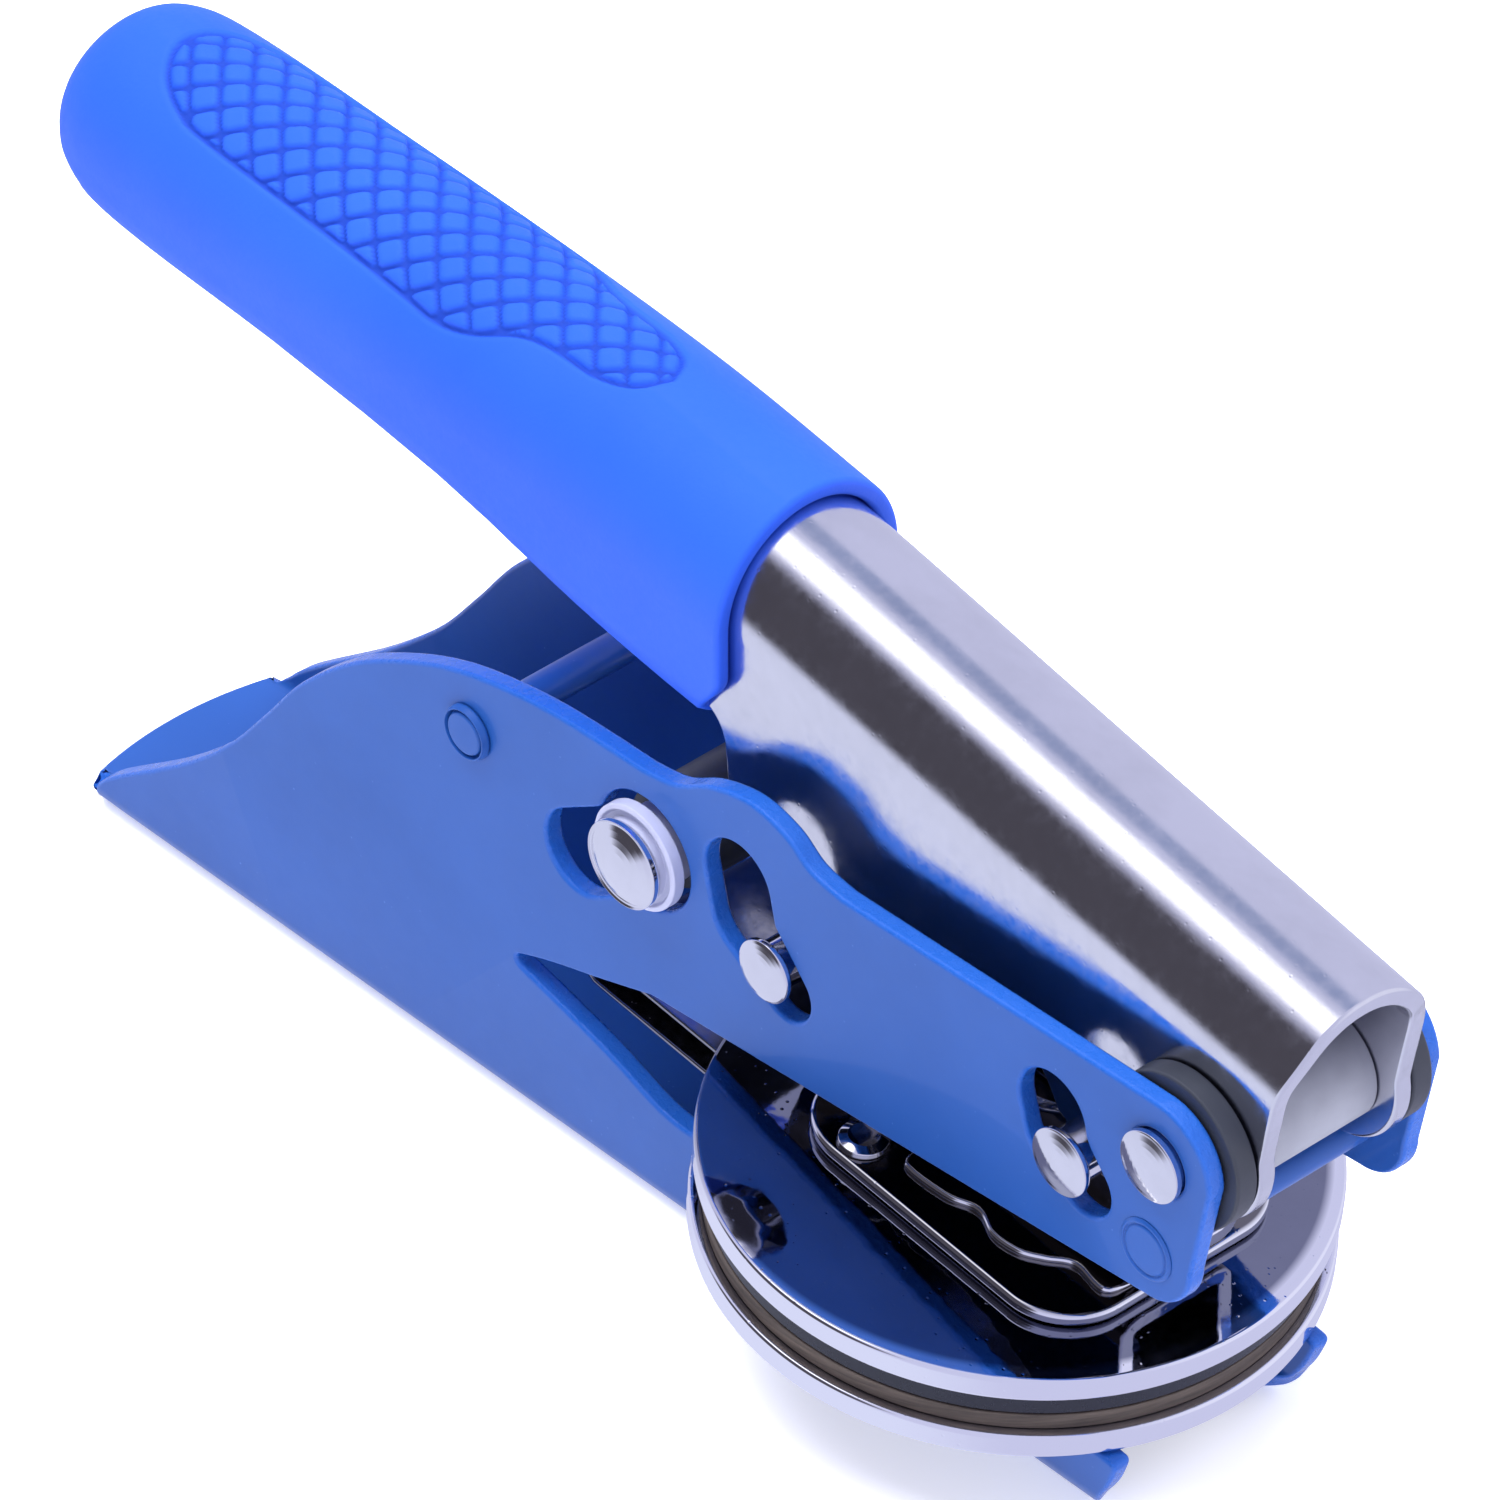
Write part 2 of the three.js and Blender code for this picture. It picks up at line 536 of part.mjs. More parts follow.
const insert = new THREE.Group();
insert.position.z = DISC.bottomZ;
insert.rotation.y = DISC.tilt;
const rivetDepth = STRAP_RIVET.sink + 0.2;
const holesFor = (places, r, z0, z1) => places.map(([x, y]) => postZ(x, y, r, z0, z1));
const lowHoles = holesFor(strapRivets, STRAP_RIVET.hole, DISC.thick - rivetDepth, DISC.thick + 3);
const highHoles = holesFor(strapRivets, STRAP_RIVET.hole, UPPER_Z - 3, UPPER_Z + rivetDepth);
const plateHoles = holesFor(plateRivets, PLATE_RIVET.hole, UPPER_Z + PLATE_RIVET.depth - 0.2, UPPER_Z + 6);
const matrixTop = DISC.thick + STACK.gap + DIE.matrixThick;
const dieTop = UPPER_Z - STACK.gap;
const matrixBody = prismZ(dieOutline(DIE.r), DISC.thick + STACK.gap, matrixTop, 28);
const dieFace = dieTop - DIE.dieThick;
const dieBody = prismZ(dieOutline(DIE.r), dieFace, dieTop, 28);
const engraved = (body, z0, z1) => ringRelief(z0, z1).reduce((rest, ring) => rest.subtract(ring), body);
insert.add(
  node("lower_disc", disc(0, lowHoles), mirror),
  node("upper_disc", disc(UPPER_Z, [...highHoles, ...plateHoles]), mirror),
  node("lower_matrix", engraved(matrixBody, matrixTop - DIE.relief, matrixTop + 1), fibre),
  node("upper_die", engraved(dieBody, dieFace - 1, dieFace + DIE.relief), resin),
  node("insert_spring", strap(), springSteel),
);
strapRivets.forEach((place, i) => {
  const side = i === 0 ? "near" : "far";
  insert.add(node(`lower_strap_rivet_${side}`, strapRivet(place, false), springSteel));
  insert.add(node(`upper_strap_rivet_${side}`, strapRivet(place, true), springSteel));
});
plateRivets.forEach((place, i) => {
  insert.add(node(`presser_rivet_${i === 0 ? "near" : "far"}`, plateRivet(place), springSteel));
});
press.add(insert);

export default press;
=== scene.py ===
import math

import bpy
import numpy as np
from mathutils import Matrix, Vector
from mathutils.geometry import delaunay_2d_cdt


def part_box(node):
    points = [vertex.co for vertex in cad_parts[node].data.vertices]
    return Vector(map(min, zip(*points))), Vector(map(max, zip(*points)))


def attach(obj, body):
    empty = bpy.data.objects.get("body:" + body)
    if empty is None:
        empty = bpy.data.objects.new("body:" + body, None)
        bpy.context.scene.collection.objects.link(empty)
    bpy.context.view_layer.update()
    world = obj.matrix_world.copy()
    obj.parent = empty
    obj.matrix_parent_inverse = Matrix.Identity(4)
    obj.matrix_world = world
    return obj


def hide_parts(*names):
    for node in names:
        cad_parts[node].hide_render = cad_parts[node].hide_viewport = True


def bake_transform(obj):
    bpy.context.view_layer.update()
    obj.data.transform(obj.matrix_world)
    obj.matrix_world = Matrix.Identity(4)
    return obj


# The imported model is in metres; shapes are worked out in millimetres, +X to the die end, +Z up.
MM = 0.001
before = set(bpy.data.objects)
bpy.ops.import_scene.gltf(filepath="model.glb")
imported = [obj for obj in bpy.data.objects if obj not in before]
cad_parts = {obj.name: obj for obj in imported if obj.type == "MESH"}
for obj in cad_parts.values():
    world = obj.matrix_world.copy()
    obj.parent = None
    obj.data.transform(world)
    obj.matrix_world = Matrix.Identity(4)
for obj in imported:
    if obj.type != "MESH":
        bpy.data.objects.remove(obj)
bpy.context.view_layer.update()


def node_box(node):
    low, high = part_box(node)
    return np.array(low) / MM, np.array(high) / MM


def node_centre(node):
    low, high = node_box(node)
    return (low + high) / 2


def node_half(node):
    low, high = node_box(node)
    return (high - low) / 2


# ---- driving dimensions ----
PIVOT = node_centre("pivot_pin")
PRESS_PIN = node_centre("press_pin")
GUIDE_PIN = node_centre("guide_pin")
LOCK = node_centre("lock_pin")
REAR_BAR = node_centre("rear_cross_bar")
FRONT_BAR = node_centre("front_cross_bar")
FRAME_HALF = node_half("frame_channel")[1]
FRAME_BULGE = 2.4
FRAME_REAR = node_box("frame_channel")[0][0] + FRAME_BULGE
FRAME_SHEET = 2.0
FRAME_FOOT = 9.0
FRAME_BEND = 3.0
FOLD_STEPS = 24
CREASE_Z = 17.6
NOSE_X = 25.5
NOTCH_X = 9.0
NOTCH_HALF = 8.4
NOTCH_CORNER = 3.0
LEVER_HALF = node_half("lever_channel")[1]
LEVER_REAR = node_box("lever_channel")[0][0]
LEVER_SHEET = 1.8
DISC_R = 27.0
DISC_THICK = 2.4
DISC_BOTTOM = 10.4
DISC_TILT = 0.11
FACE_GAP = 4.1
UPPER_Z = DISC_THICK + FACE_GAP
DIE_R = 26.0
DIE_FLAT_X = -19.6
PLATE_Z = UPPER_Z + DISC_THICK + 0.15
PLATE_THICK = 1.3
PLATE_X = (-15.0, 19.4)
PLATE_HALF = 13.6
PLATE_CORNER = 6.5
# Each slot is a chain of circles (x, z, r) from its top end down.
GUIDE_SLOT = [(-19.5, 42.1, 3.9), (-18.6, 38.3, 3.9), (-13.6, 34.2, 2.9)]
PRESS_SLOT = [(18, 40.8, 3.8), (18.6, 38.4, 3.7), (21.9, 35.6, 3)]
LOCK_SLOT_END = (-39, 33.6)
LOCK_SLOT_R = 4
LOCK_HOLE_R = 5.5
BAR_R = 1.6
BAR_SHANK_R = 1.25
PIVOT_BORE = 3.1
PRESS_BORE = 2.6
LEVER_PRESS_BORE = 2.8
GUIDE_BORE = 2.3
LOCK_BORE = 2.75
WASHER_R = 7.2
SLEEVE_R = 5.2
SLEEVE_REACH = 6.6
LOCK_TUBE_R = 4.6
ROLLER_R = 3.6
SPACER_R = 3.2
CHEEK_SHEET = 1.6
CHEEK_OUTER = 6.4
CHEEK_REACH = 4.6
MATRIX_THICK = 1.6
DIE_THICK = 2.3
DIE_SEAT = 0.02
STRAP_THICK = 0.55
STRAP_REAR = -42.0
STRAP_FRONT = -20.4
STRAP_HALF = 10.3
STRAP_END_HALF = 14
STRAP_RIVET_X = -23.2
STRAP_RIVET_Y = 6
PLATE_RIVET_X = -7.5
PLATE_RIVET_Y = 10.9
GAP = 0.15


# ---- outlines ----
def arc(cx, cy, r, start, end, step=0.35):
    count = max(3, math.ceil(abs(end - start) * r / step) + 1)
    return [(cx + r * math.cos(a), cy + r * math.sin(a)) for a in np.linspace(start, end, count)]


def smooth_through(points, step=0.5):
    """A Catmull-Rom curve through the points."""
    p = np.array(points, float)
    out = []
    for i in range(len(p) - 1):
        p0, p1, p2, p3 = p[max(i - 1, 0)], p[i], p[i + 1], p[min(i + 2, len(p) - 1)]
        v0, v1 = (p2 - p0) / 2, (p3 - p1) / 2
        count = max(2, math.ceil(np.linalg.norm(p2 - p1) / step))
        for t in np.arange(count) / count:
            out.append(tuple((2 * t**3 - 3 * t**2 + 1) * p1 + (t**3 - 2 * t**2 + t) * v0
                             + (3 * t**2 - 2 * t**3) * p2 + (t**3 - t**2) * v1))
    return out + [tuple(p[-1])]


def dense(points, step=0.9, closed=False):
    """The polyline with no stretch longer than step."""
    ends = points[1:] + (points[:1] if closed else [])
    out = []
    for a, b in zip(points, ends):
        count = max(1, math.ceil(math.dist(a, b) / step))
        out += [(a[0] + (b[0] - a[0]) * i / count, a[1] + (b[1] - a[1]) * i / count) for i in range(count)]
    return out if closed else out + [points[-1]]


def without_repeats(points, least=0.02):
    out = [points[0]]
    for p in points[1:]:
        if math.dist(p, out[-1]) > least:
            out.append(p)
    if math.dist(out[0], out[-1]) <= least:
        out.pop()
    return out


def softened(loop, reach=1.0, least=0.5):
    """The closed loop with each sharp corner replaced by a short curve."""
    p = np.array(without_repeats(loop))
    ahead = np.roll(p, -1, axis=0) - p
    heading = np.arctan2(ahead[:, 1], ahead[:, 0])
    turn = (heading - np.roll(heading, 1) + math.pi) % (2 * math.pi) - math.pi
    length = np.concatenate([[0], np.cumsum(np.hypot(*ahead.T))])
    total = length[-1]
    closed = np.concatenate([p, p[:1]])

    def at(distance):
        return np.array([np.interp(distance % total, length, closed[:, k]) for k in (0, 1)])

    corners = np.flatnonzero(np.abs(turn) > least)
    out = []
    for i, q in enumerate(p):
        gap = [abs((length[i] - length[c] + total / 2) % total - total / 2) for c in corners]
        if i in corners:
            a, c = at(length[i] - reach), at(length[i] + reach)
            for t in np.linspace(0, 1, 6):
                out.append(tuple((1 - t) ** 2 * a + 2 * t * (1 - t) * q + t**2 * c))
        elif not gap or min(gap) > reach * 1.15:
            out.append(tuple(q))
    return without_repeats(out, 0.08)


def mirrored(half):
    """The closed outline of a half outline that starts and ends on the middle line."""
    return half + [(x, -s) for x, s in half[-2:0:-1]]


def both_ends(half):
    """The lathe profile (r, y) of a turned part that is the same at both ends."""
    return [(r, -y) for r, y in half[:0:-1]] + half[1:]


def slot_outline(circles):
    """The outline round a chain of circles (x, z, r) and the straight tangents that join them."""
    pairs = list(zip(circles, circles[1:]))
    sides = []
    for (ax, az, ar), (bx, bz, br) in pairs:
        along = math.atan2(bz - az, bx - ax)
        swing = math.acos((ar - br) / math.hypot(bx - ax, bz - az))
        sides.append((along + swing, along - swing))
    out = []

    def corner(circle, before, after):
        x, z, r = circle
        turn = (after - before + math.pi) % (2 * math.pi) - math.pi
        if turn < 0:
            out.extend(arc(x, z, r, before, before + turn))
            return
        n1 = np.array([math.cos(before), math.sin(before)])
        n2 = np.array([math.cos(after), math.sin(after)])
        out.append(tuple(np.array([x, z]) + r * (n1 + n2) / (1 + n1 @ n2)))

    for i in range(1, len(pairs)):
        corner(circles[i], sides[i - 1][0], sides[i][0])
    out.extend(arc(*circles[-1], *sides[-1]))
    for i in range(len(pairs) - 1, 0, -1):
        corner(circles[i], sides[i][1], sides[i - 1][1])
    out.extend(arc(*circles[0], sides[0][1], sides[0][0] - 2 * math.pi))
    return out


def keyhole_outline(back, front, slot_r, hole_r):
    """A round hole with a slot of round end running back from it."""
    (bx, bz), (fx, fz) = back, front
    angle = math.atan2(fz - bz, fx - bx)
    reach = math.hypot(fx - bx, fz - bz)
    half = math.asin(slot_r / hole_r)
    local = arc(0, 0, slot_r, 1.5 * math.pi, 0.5 * math.pi)
    local += arc(reach, 0, hole_r, math.pi - half, half - math.pi)
    c, s = math.cos(angle), math.sin(angle)
    return [(bx + u * c - v * s, bz + u * s + v * c) for u, v in local]


def circle_outline(at, r):
    return arc(at[0], at[2], r, 0, 2 * math.pi)[:-1]


def both_walls(outlines, distance):
    """Outlines in (x, z) on both walls of a folded sheet, as (x, distance over the sheet)."""
    return [[(x, side * distance(x, z)) for x, z in outline] for outline in outlines for side in (1, -1)]


# ---- meshes ----
def make_mesh(name, points_mm, faces, normals=None, marks=None):
    mesh = bpy.data.meshes.new(name)
    mesh.from_pydata((np.asarray(points_mm) * MM).tolist(), [], faces)
    mesh.validate()
    mesh.shade_smooth()
    if marks is not None:
        mark = mesh.attributes.new("edge", "FLOAT", "POINT")
        mark.data.foreach_set("value", np.asarray(marks, np.float32))
    if normals is not None:
        mesh.normals_split_custom_set_from_vertices(np.asarray(normals).tolist())
    obj = bpy.data.objects.new(name, mesh)
    bpy.context.scene.collection.objects.link(obj)
    return obj


def is_inside(points, loops):
    """Even-odd test of points against closed loops."""
    points = np.asarray(points, float)
    hit = np.zeros(len(points), bool)
    for loop in loops:
        a = np.asarray(loop, float)
        b = np.roll(a, -1, axis=0)
        for (ax, ay), (bx, by) in zip(a, b):
            crosses = (ay > points[:, 1]) != (by > points[:, 1])
            if ay == by:
                continue
            x = ax + (points[:, 1] - ay) * (bx - ax) / (by - ay)
            hit ^= crosses & (points[:, 0] < x)
    return hit


def inward_normals(loop):
    """Left-hand normals of a loop whose material lies to its left, lengthened at corners."""
    p = np.asarray(loop, float)
    ahead = np.roll(p, -1, axis=0) - p
    ahead /= np.linalg.norm(ahead, axis=1)[:, None]
    behind = np.roll(ahead, 1, axis=0)
    normal = np.stack([-(ahead + behind)[:, 1], (ahead + behind)[:, 0]], 1)
    normal /= np.maximum(np.linalg.norm(normal, axis=1), 1e-6)[:, None]
    side = np.stack([-ahead[:, 1], ahead[:, 0]], 1)
    return normal / np.clip((normal * side).sum(1), 0.6, 1)[:, None]


def area_of(loop):
    p = np.asarray(loop, float)
    q = np.roll(p, -1, axis=0)
    return (p[:, 0] * q[:, 1] - q[:, 0] * p[:, 1]).sum() / 2


def surface_frame(middle, uv, h=0.02):
    """Points, both tangents and the unit normal of the surface middle(u, v)."""
    u, v = uv[:, 0], uv[:, 1]
    tu = (middle(u + h, v) - middle(u - h, v)) / (2 * h)
    tv = (middle(u, v + h) - middle(u, v - h)) / (2 * h)
    normal = np.cross(tu, tv)
    normal /= np.linalg.norm(normal, axis=1)[:, None]
    return middle(u, v), tu, tv, normal


def sheet_geometry(loops, middle, half, edge, grid=(), rings=4):
    """A sheet of thickness 2 * half on the surface middle(u, v), cut to loops, with rounded edges."""
    loops = [loop if (area_of(loop) > 0) == (i == 0) else loop[::-1] for i, loop in enumerate(loops)]
    loops = [np.array(softened(loop, 2 * edge)) for loop in loops]
    inward = [inward_normals(loop) for loop in loops]
    inset = [loop + n * edge for loop, n in zip(loops, inward)]
    angles = [math.pi / 2 * k / rings for k in range(rings + 1)]
    steps = [(edge * (1 - math.sin(a)), half - edge * (1 - math.cos(a)), a, 1) for a in angles]
    steps += [(d, -t, a, -1) for d, t, a, _ in reversed(steps)]
    points, normals, marks, faces, start = [], [], [], [], 0
    first_ring, last_ring = [], []
    for loop, n in zip(loops, inward):
        count = len(loop)
        for k, (d, t, a, sign) in enumerate(steps):
            at, tu, tv, up = surface_frame(middle, loop + n * d)
            out = -(n[:, :1] * tu + n[:, 1:] * tv)
            out /= np.linalg.norm(out, axis=1)[:, None]
            points.append(at + up * t)
            normals.append(sign * up * math.cos(a) + out * math.sin(a))
            marks.append(np.full(count, math.sin(a)))
            if k:
                here, last = start + k * count, start + (k - 1) * count
                for i in range(count):
                    j = (i + 1) % count
                    faces.append((last + i, here + i, here + j, last + j))
        first_ring.append(np.arange(count) + start)
        last_ring.append(np.arange(count) + start + (len(steps) - 1) * count)
        start += len(steps) * count
    grid = np.asarray(grid, float).reshape(-1, 2)
    if len(grid):
        grid = grid[is_inside(grid, inset)]
        every = np.concatenate(inset)
        gap = np.array([np.min(np.hypot(*(every - g).T)) for g in grid])
        grid = grid[gap > 0.45]
    flat = [Vector(p) for p in np.concatenate(inset + [grid])]
    edges, offset = [], 0
    for loop in inset:
        edges += [(offset + i, offset + (i + 1) % len(loop)) for i in range(len(loop))]
        offset += len(loop)
    made, _, triangles, origin, _, _ = delaunay_2d_cdt(flat, edges, [], 0, 1e-7)
    middle_of = np.array([[sum(made[i][k] for i in t) / 3 for k in (0, 1)] for t in triangles])
    kept = [t for t, ok in zip(triangles, is_inside(middle_of, inset)) if ok]
    at, _, _, up = surface_frame(middle, np.array([tuple(q) for q in made]))
    for side, ring in ((1, first_ring), (-1, last_ring)):
        rim = np.concatenate(ring)
        index = {}
        for i in sorted({i for t in kept for i in t}):
            if origin[i] and origin[i][0] < len(rim):
                index[i] = int(rim[origin[i][0]])
                continue
            index[i] = start
            points.append(at[i : i + 1] + side * half * up[i : i + 1])
            normals.append(side * up[i : i + 1])
            marks.append(np.zeros(1))
            start += 1
        for t in kept:
            face = [index[i] for i in t]
            faces.append(tuple(face if side > 0 else face[::-1]))
    return np.concatenate(points), faces, np.concatenate(normals), np.concatenate(marks)


def joined(parts):
    """Several (points, faces, normals, marks) as one."""
    points, faces, normals, marks, start = [], [], [], [], 0
    for p, f, n, m in parts:
        points.append(p)
        normals.append(n)
        marks.append(m)
        faces += [tuple(i + start for i in face) for face in f]
        start += len(p)
    return np.concatenate(points), faces, np.concatenate(normals), np.concatenate(marks)


def rounded_profile(profile, radius, closed):
    """A lathe profile of (r, h) with its corners rounded, as (r, h, normal r, normal h) rows."""
    p = [np.array(q, float) for q in profile]
    count = len(p)
    rows = []

    def normal_of(a, b):
        d = (b - a) / np.linalg.norm(b - a)
        return np.array([d[1], -d[0]])

    for i in range(count):
        if not closed and i in (0, count - 1):
            n = normal_of(p[0], p[1]) if i == 0 else normal_of(p[-2], p[-1])
            rows.append((*p[i], *n))
            continue
        a, b, c = p[i - 1], p[i], p[(i + 1) % count]
        n1, n2 = normal_of(a, b), normal_of(b, c)
        turn = math.acos(np.clip(n1 @ n2, -1, 1))
        room = 0.45 * min(np.linalg.norm(b - a), np.linalg.norm(c - b))
        cut = min(radius * math.tan(turn / 2), room)
        start = b + (a - b) / np.linalg.norm(a - b) * cut
        end = b + (c - b) / np.linalg.norm(c - b) * cut
        steps = max(2, math.ceil(turn / 0.3))
        for k in range(steps + 1):
            t = k / steps
            q = (1 - t) ** 2 * start + 2 * t * (1 - t) * b + t**2 * end
            n = (1 - t) * n1 + t * n2
            rows.append((*q, *(n / np.linalg.norm(n))))
    return rows


def lathe_geometry(profile, axis, at, radius, segments=96, closed=False):
    """The profile of (r, height) turned about the y or z axis through the point at."""
    rows = rounded_profile(profile, radius, closed)
    points, normals, rings = [], [], []
    for r, h, nr, nh in rows:
        count = 1 if r < 1e-6 else segments
        ring = []
        for k in range(count):
            a = 2 * math.pi * k / segments
            c, s = math.cos(a), math.sin(a)
            ring.append(len(points))
            if axis == "y":
                points.append((at[0] + r * s, h, at[2] + r * c))
                normals.append((nr * s, nh, nr * c))
            else:
                points.append((at[0] + r * c, at[1] + r * s, h))
                normals.append((nr * c, nr * s, nh))
        rings.append(ring)
    faces = []
    pairs = list(zip(rings, rings[1:])) + ([(rings[-1], rings[0])] if closed else [])
    for low, high in pairs:
        for k in range(segments):
            a, b = low[k % len(low)], low[(k + 1) % len(low)]
            c, d = high[(k + 1) % len(high)], high[k % len(high)]
            faces.append(tuple(dict.fromkeys((a, b, c, d))))
    faces = [f for f in faces if len(f) > 2]
    return np.array(points), faces, np.array(normals), np.zeros(len(points))


def in_insert(geometry):
    """Moves a geometry from the tilted frame of the lower disc to the part's frame."""
    points, faces, normals, marks = geometry
    c, s = math.cos(DISC_TILT), math.sin(DISC_TILT)
    turn = np.array([[c, 0, s], [0, 1, 0], [-s, 0, c]])
    return points @ turn.T + np.array([0, 0, DISC_BOTTOM]), faces, normals @ turn.T, marks


def piece(name, geometry, material, body, slot, node):
    points, faces, normals, marks = geometry
    obj = make_mesh(name, points, faces, normals, marks)
    obj.data.materials.append(material)
    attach(obj, body)
    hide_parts(node)


# ---- materials ----
class Nodes:
    """A small writer for the node tree of one material or world."""

    def __init__(self, owner, shader, place):
        owner.use_nodes = True
        self.tree = owner.node_tree
        self.shader = self.tree.nodes[shader]
        self.place = self.tree.nodes.new("ShaderNodeTexCoord").outputs[place]

    def link(self, a, b):
        self.tree.links.new(a, b)

    def feed(self, socket, value):
        """Sets the socket to a number or a colour, or links an output to it."""
        if isinstance(value, tuple):
            socket.default_value = (*value, 1)
        elif isinstance(value, (int, float)):
            socket.default_value = value
        else:
            self.link(value, socket)

    def set(self, node=None, **values):
        """Feeds a node's inputs, or the shader's, by name, with an underscore for each space."""
        for name, value in values.items():
            self.feed((node or self.shader).inputs[name.replace("_", " ")], value)

    def noise(self, scale, detail=2.0, rough=0.5, stretch=None):
        node = self.tree.nodes.new("ShaderNodeTexNoise")
        self.set(node, Scale=scale, Detail=detail, Roughness=rough, Vector=self.stretched(stretch))
        return node.outputs["Fac"]

    def cells(self, scale):
        node = self.tree.nodes.new("ShaderNodeTexVoronoi")
        self.set(node, Scale=scale, Vector=self.place)
        return node.outputs["Distance"]

    def stretched(self, stretch):
        if stretch is None:
            return self.place
        node = self.tree.nodes.new("ShaderNodeMapping")
        node.inputs["Scale"].default_value = stretch
        self.link(self.place, node.inputs["Vector"])
        return node.outputs["Vector"]

    def ramp(self, value, low, high, from_low=0.0, from_high=1.0):
        node = self.tree.nodes.new("ShaderNodeMapRange")
        self.set(node, From_Min=from_low, From_Max=from_high, To_Min=low, To_Max=high, Value=value)
        return node.outputs["Result"]

    def math(self, kind, a, b):
        node = self.tree.nodes.new("ShaderNodeMath")
        node.operation = kind
        self.feed(node.inputs[0], a)
        self.feed(node.inputs[1], b)
        return node.outputs["Value"]

    def mix(self, factor, a, b):
        node = self.tree.nodes.new("ShaderNodeMix")
        node.data_type = "RGBA"
        self.set(node, Factor=factor, A=a, B=b)
        return node.outputs["Result"]

    def radius(self):
        """Distance from the die axis, in metres."""
        node = self.tree.nodes.new("ShaderNodeVectorMath")
        node.operation = "LENGTH"
        self.link(self.stretched((1, 1, 0)), node.inputs[0])
        return node.outputs["Value"]

    def toward(self, direction, wide, soft):
        """1 inside a cone round the direction, 0 outside it, with a soft rim; angles in degrees."""
        dot = self.tree.nodes.new("ShaderNodeVectorMath")
        dot.operation = "DOT_PRODUCT"
        dot.inputs[1].default_value = Vector(direction).normalized()
        self.link(self.place, dot.inputs[0])
        ramp = self.tree.nodes.new("ShaderNodeMapRange")
        ramp.interpolation_type = "SMOOTHSTEP"
        self.set(ramp, From_Min=math.cos(math.radians(wide + soft)), From_Max=math.cos(math.radians(wide)))
        self.set(ramp, Value=dot.outputs["Value"])
        return ramp.outputs["Result"]

    def edge(self):
        node = self.tree.nodes.new("ShaderNodeAttribute")
        node.attribute_name = "edge"
        return node.outputs["Fac"]

    def bump(self, *layers):
        """Bump from (height, depth in millimetres) layers."""
        last = None
        for height, depth in layers:
            node = self.tree.nodes.new("ShaderNodeBump")
            self.set(node, Distance=depth * MM, Height=height)
            if last is not None:
                self.set(node, Normal=last)
            last = node.outputs["Normal"]
        self.set(Normal=last)


def new_material(name):
    material = bpy.data.materials.new(name)
    return material, Nodes(material, "Principled BSDF", "Object")


def paint_material():
    """Glossy blue paint, a little thinner and brighter on the sheared edges, with orange peel and dust."""
    material, m = new_material("blue_paint")
    cloud = m.noise(60, 3)
    face = m.mix(m.ramp(cloud, 0, 1, 0.3, 0.7), (0.014, 0.079, 0.325), (0.018, 0.092, 0.370))
    dust = m.ramp(m.cells(900), 1, 0, 0.02, 0.12)
    dusty = m.math("MULTIPLY", dust, m.ramp(m.noise(300), 0, 0.5, 0.55, 0.7))
    face = m.mix(dusty, face, (0.16, 0.30, 0.75))
    edge = m.ramp(m.edge(), 0, 1, 0.1, 0.9)
    m.set(Base_Color=m.mix(edge, face, (0.018, 0.110, 0.480)), Metallic=0.0)
    m.set(Coat_Weight=0.22, Coat_Roughness=0.05)
    worn = m.math("MULTIPLY", m.ramp(m.noise(700, 3), 0, 0.16, 0.4, 0.6), edge)
    m.set(Roughness=m.math("SUBTRACT", m.ramp(m.noise(500, 3), 0.30, 0.42), worn), Specular_IOR_Level=0.3)
    burr = m.math("MULTIPLY", m.noise(1400, 3, 0.6), edge)
    m.bump((m.noise(420, 2), 0.010), (m.noise(2200, 2), 0.0016), (burr, 0.10))
    return material


def chrome_material(name, color, rough, peel, grain, pits, highlight_rim_r=None, painted_edge_highlight=False):
    """Plated steel: a slow wave from the polish, a fine grain and scattered pits, depths in millimetres.

    A painted highlight lightens the rolled rim past the given radius, or the sheet's edge, towards a pale
    colour.
    """
    material, m = new_material(name)
    tone = m.ramp(m.noise(140, 4, 0.6), 0.0, 1.0, 0.35, 0.65)
    face = m.mix(tone, tuple(0.93 * c for c in color), color)
    # Painted highlight: the rim past this radius is lightened towards a pale colour.
    if highlight_rim_r is not None:
        face = m.mix(m.ramp(m.radius(), 0, 1, (highlight_rim_r - 0.8) * MM, highlight_rim_r * MM), face, PAINTED_RIM_HIGHLIGHT)
    # Painted highlight: the sheet's rounded edges are lightened towards a pale colour.
    if painted_edge_highlight:
        face = m.mix(m.ramp(m.edge(), 0, 1, 0.15, 0.8), face, PAINTED_RIM_HIGHLIGHT)
    m.set(Base_Color=face, Metallic=1.0)
    m.set(Roughness=m.ramp(m.noise(900, 4, 0.65), rough * 0.6, rough * 1.4, 0.3, 0.7))
    pit = m.ramp(m.cells(1000), 0, 1, 0.03, 0.16)
    m.bump((m.noise(230, 2), peel), (m.noise(3500, 2), grain), (pit, pits))
    return material


def rubber_material():
    """Soft blue rubber with a fine moulded grain, and painted shade in the tread's grooves."""
    material, m = new_material("blue_rubber")
    tone = m.ramp(m.noise(55, 3), 0, 1, 0.3, 0.7)
    face = m.mix(tone, (0.018, 0.094, 0.640), (0.022, 0.106, 0.720))
    # Painted shade: the colour darkens where the tread sinks, in its grooves.
    groove = m.ramp(m.edge(), 0, 1, 0.25, 0.95)
    m.set(Base_Color=m.mix(groove, face, (0.010, 0.048, 0.370)))
    m.set(Roughness=m.ramp(m.noise(1500, 3), 0.52, 0.68), Specular_IOR_Level=0.28)
    m.bump((m.noise(2600, 3, 0.6), 0.018), (m.noise(500, 2), 0.006))
    return material


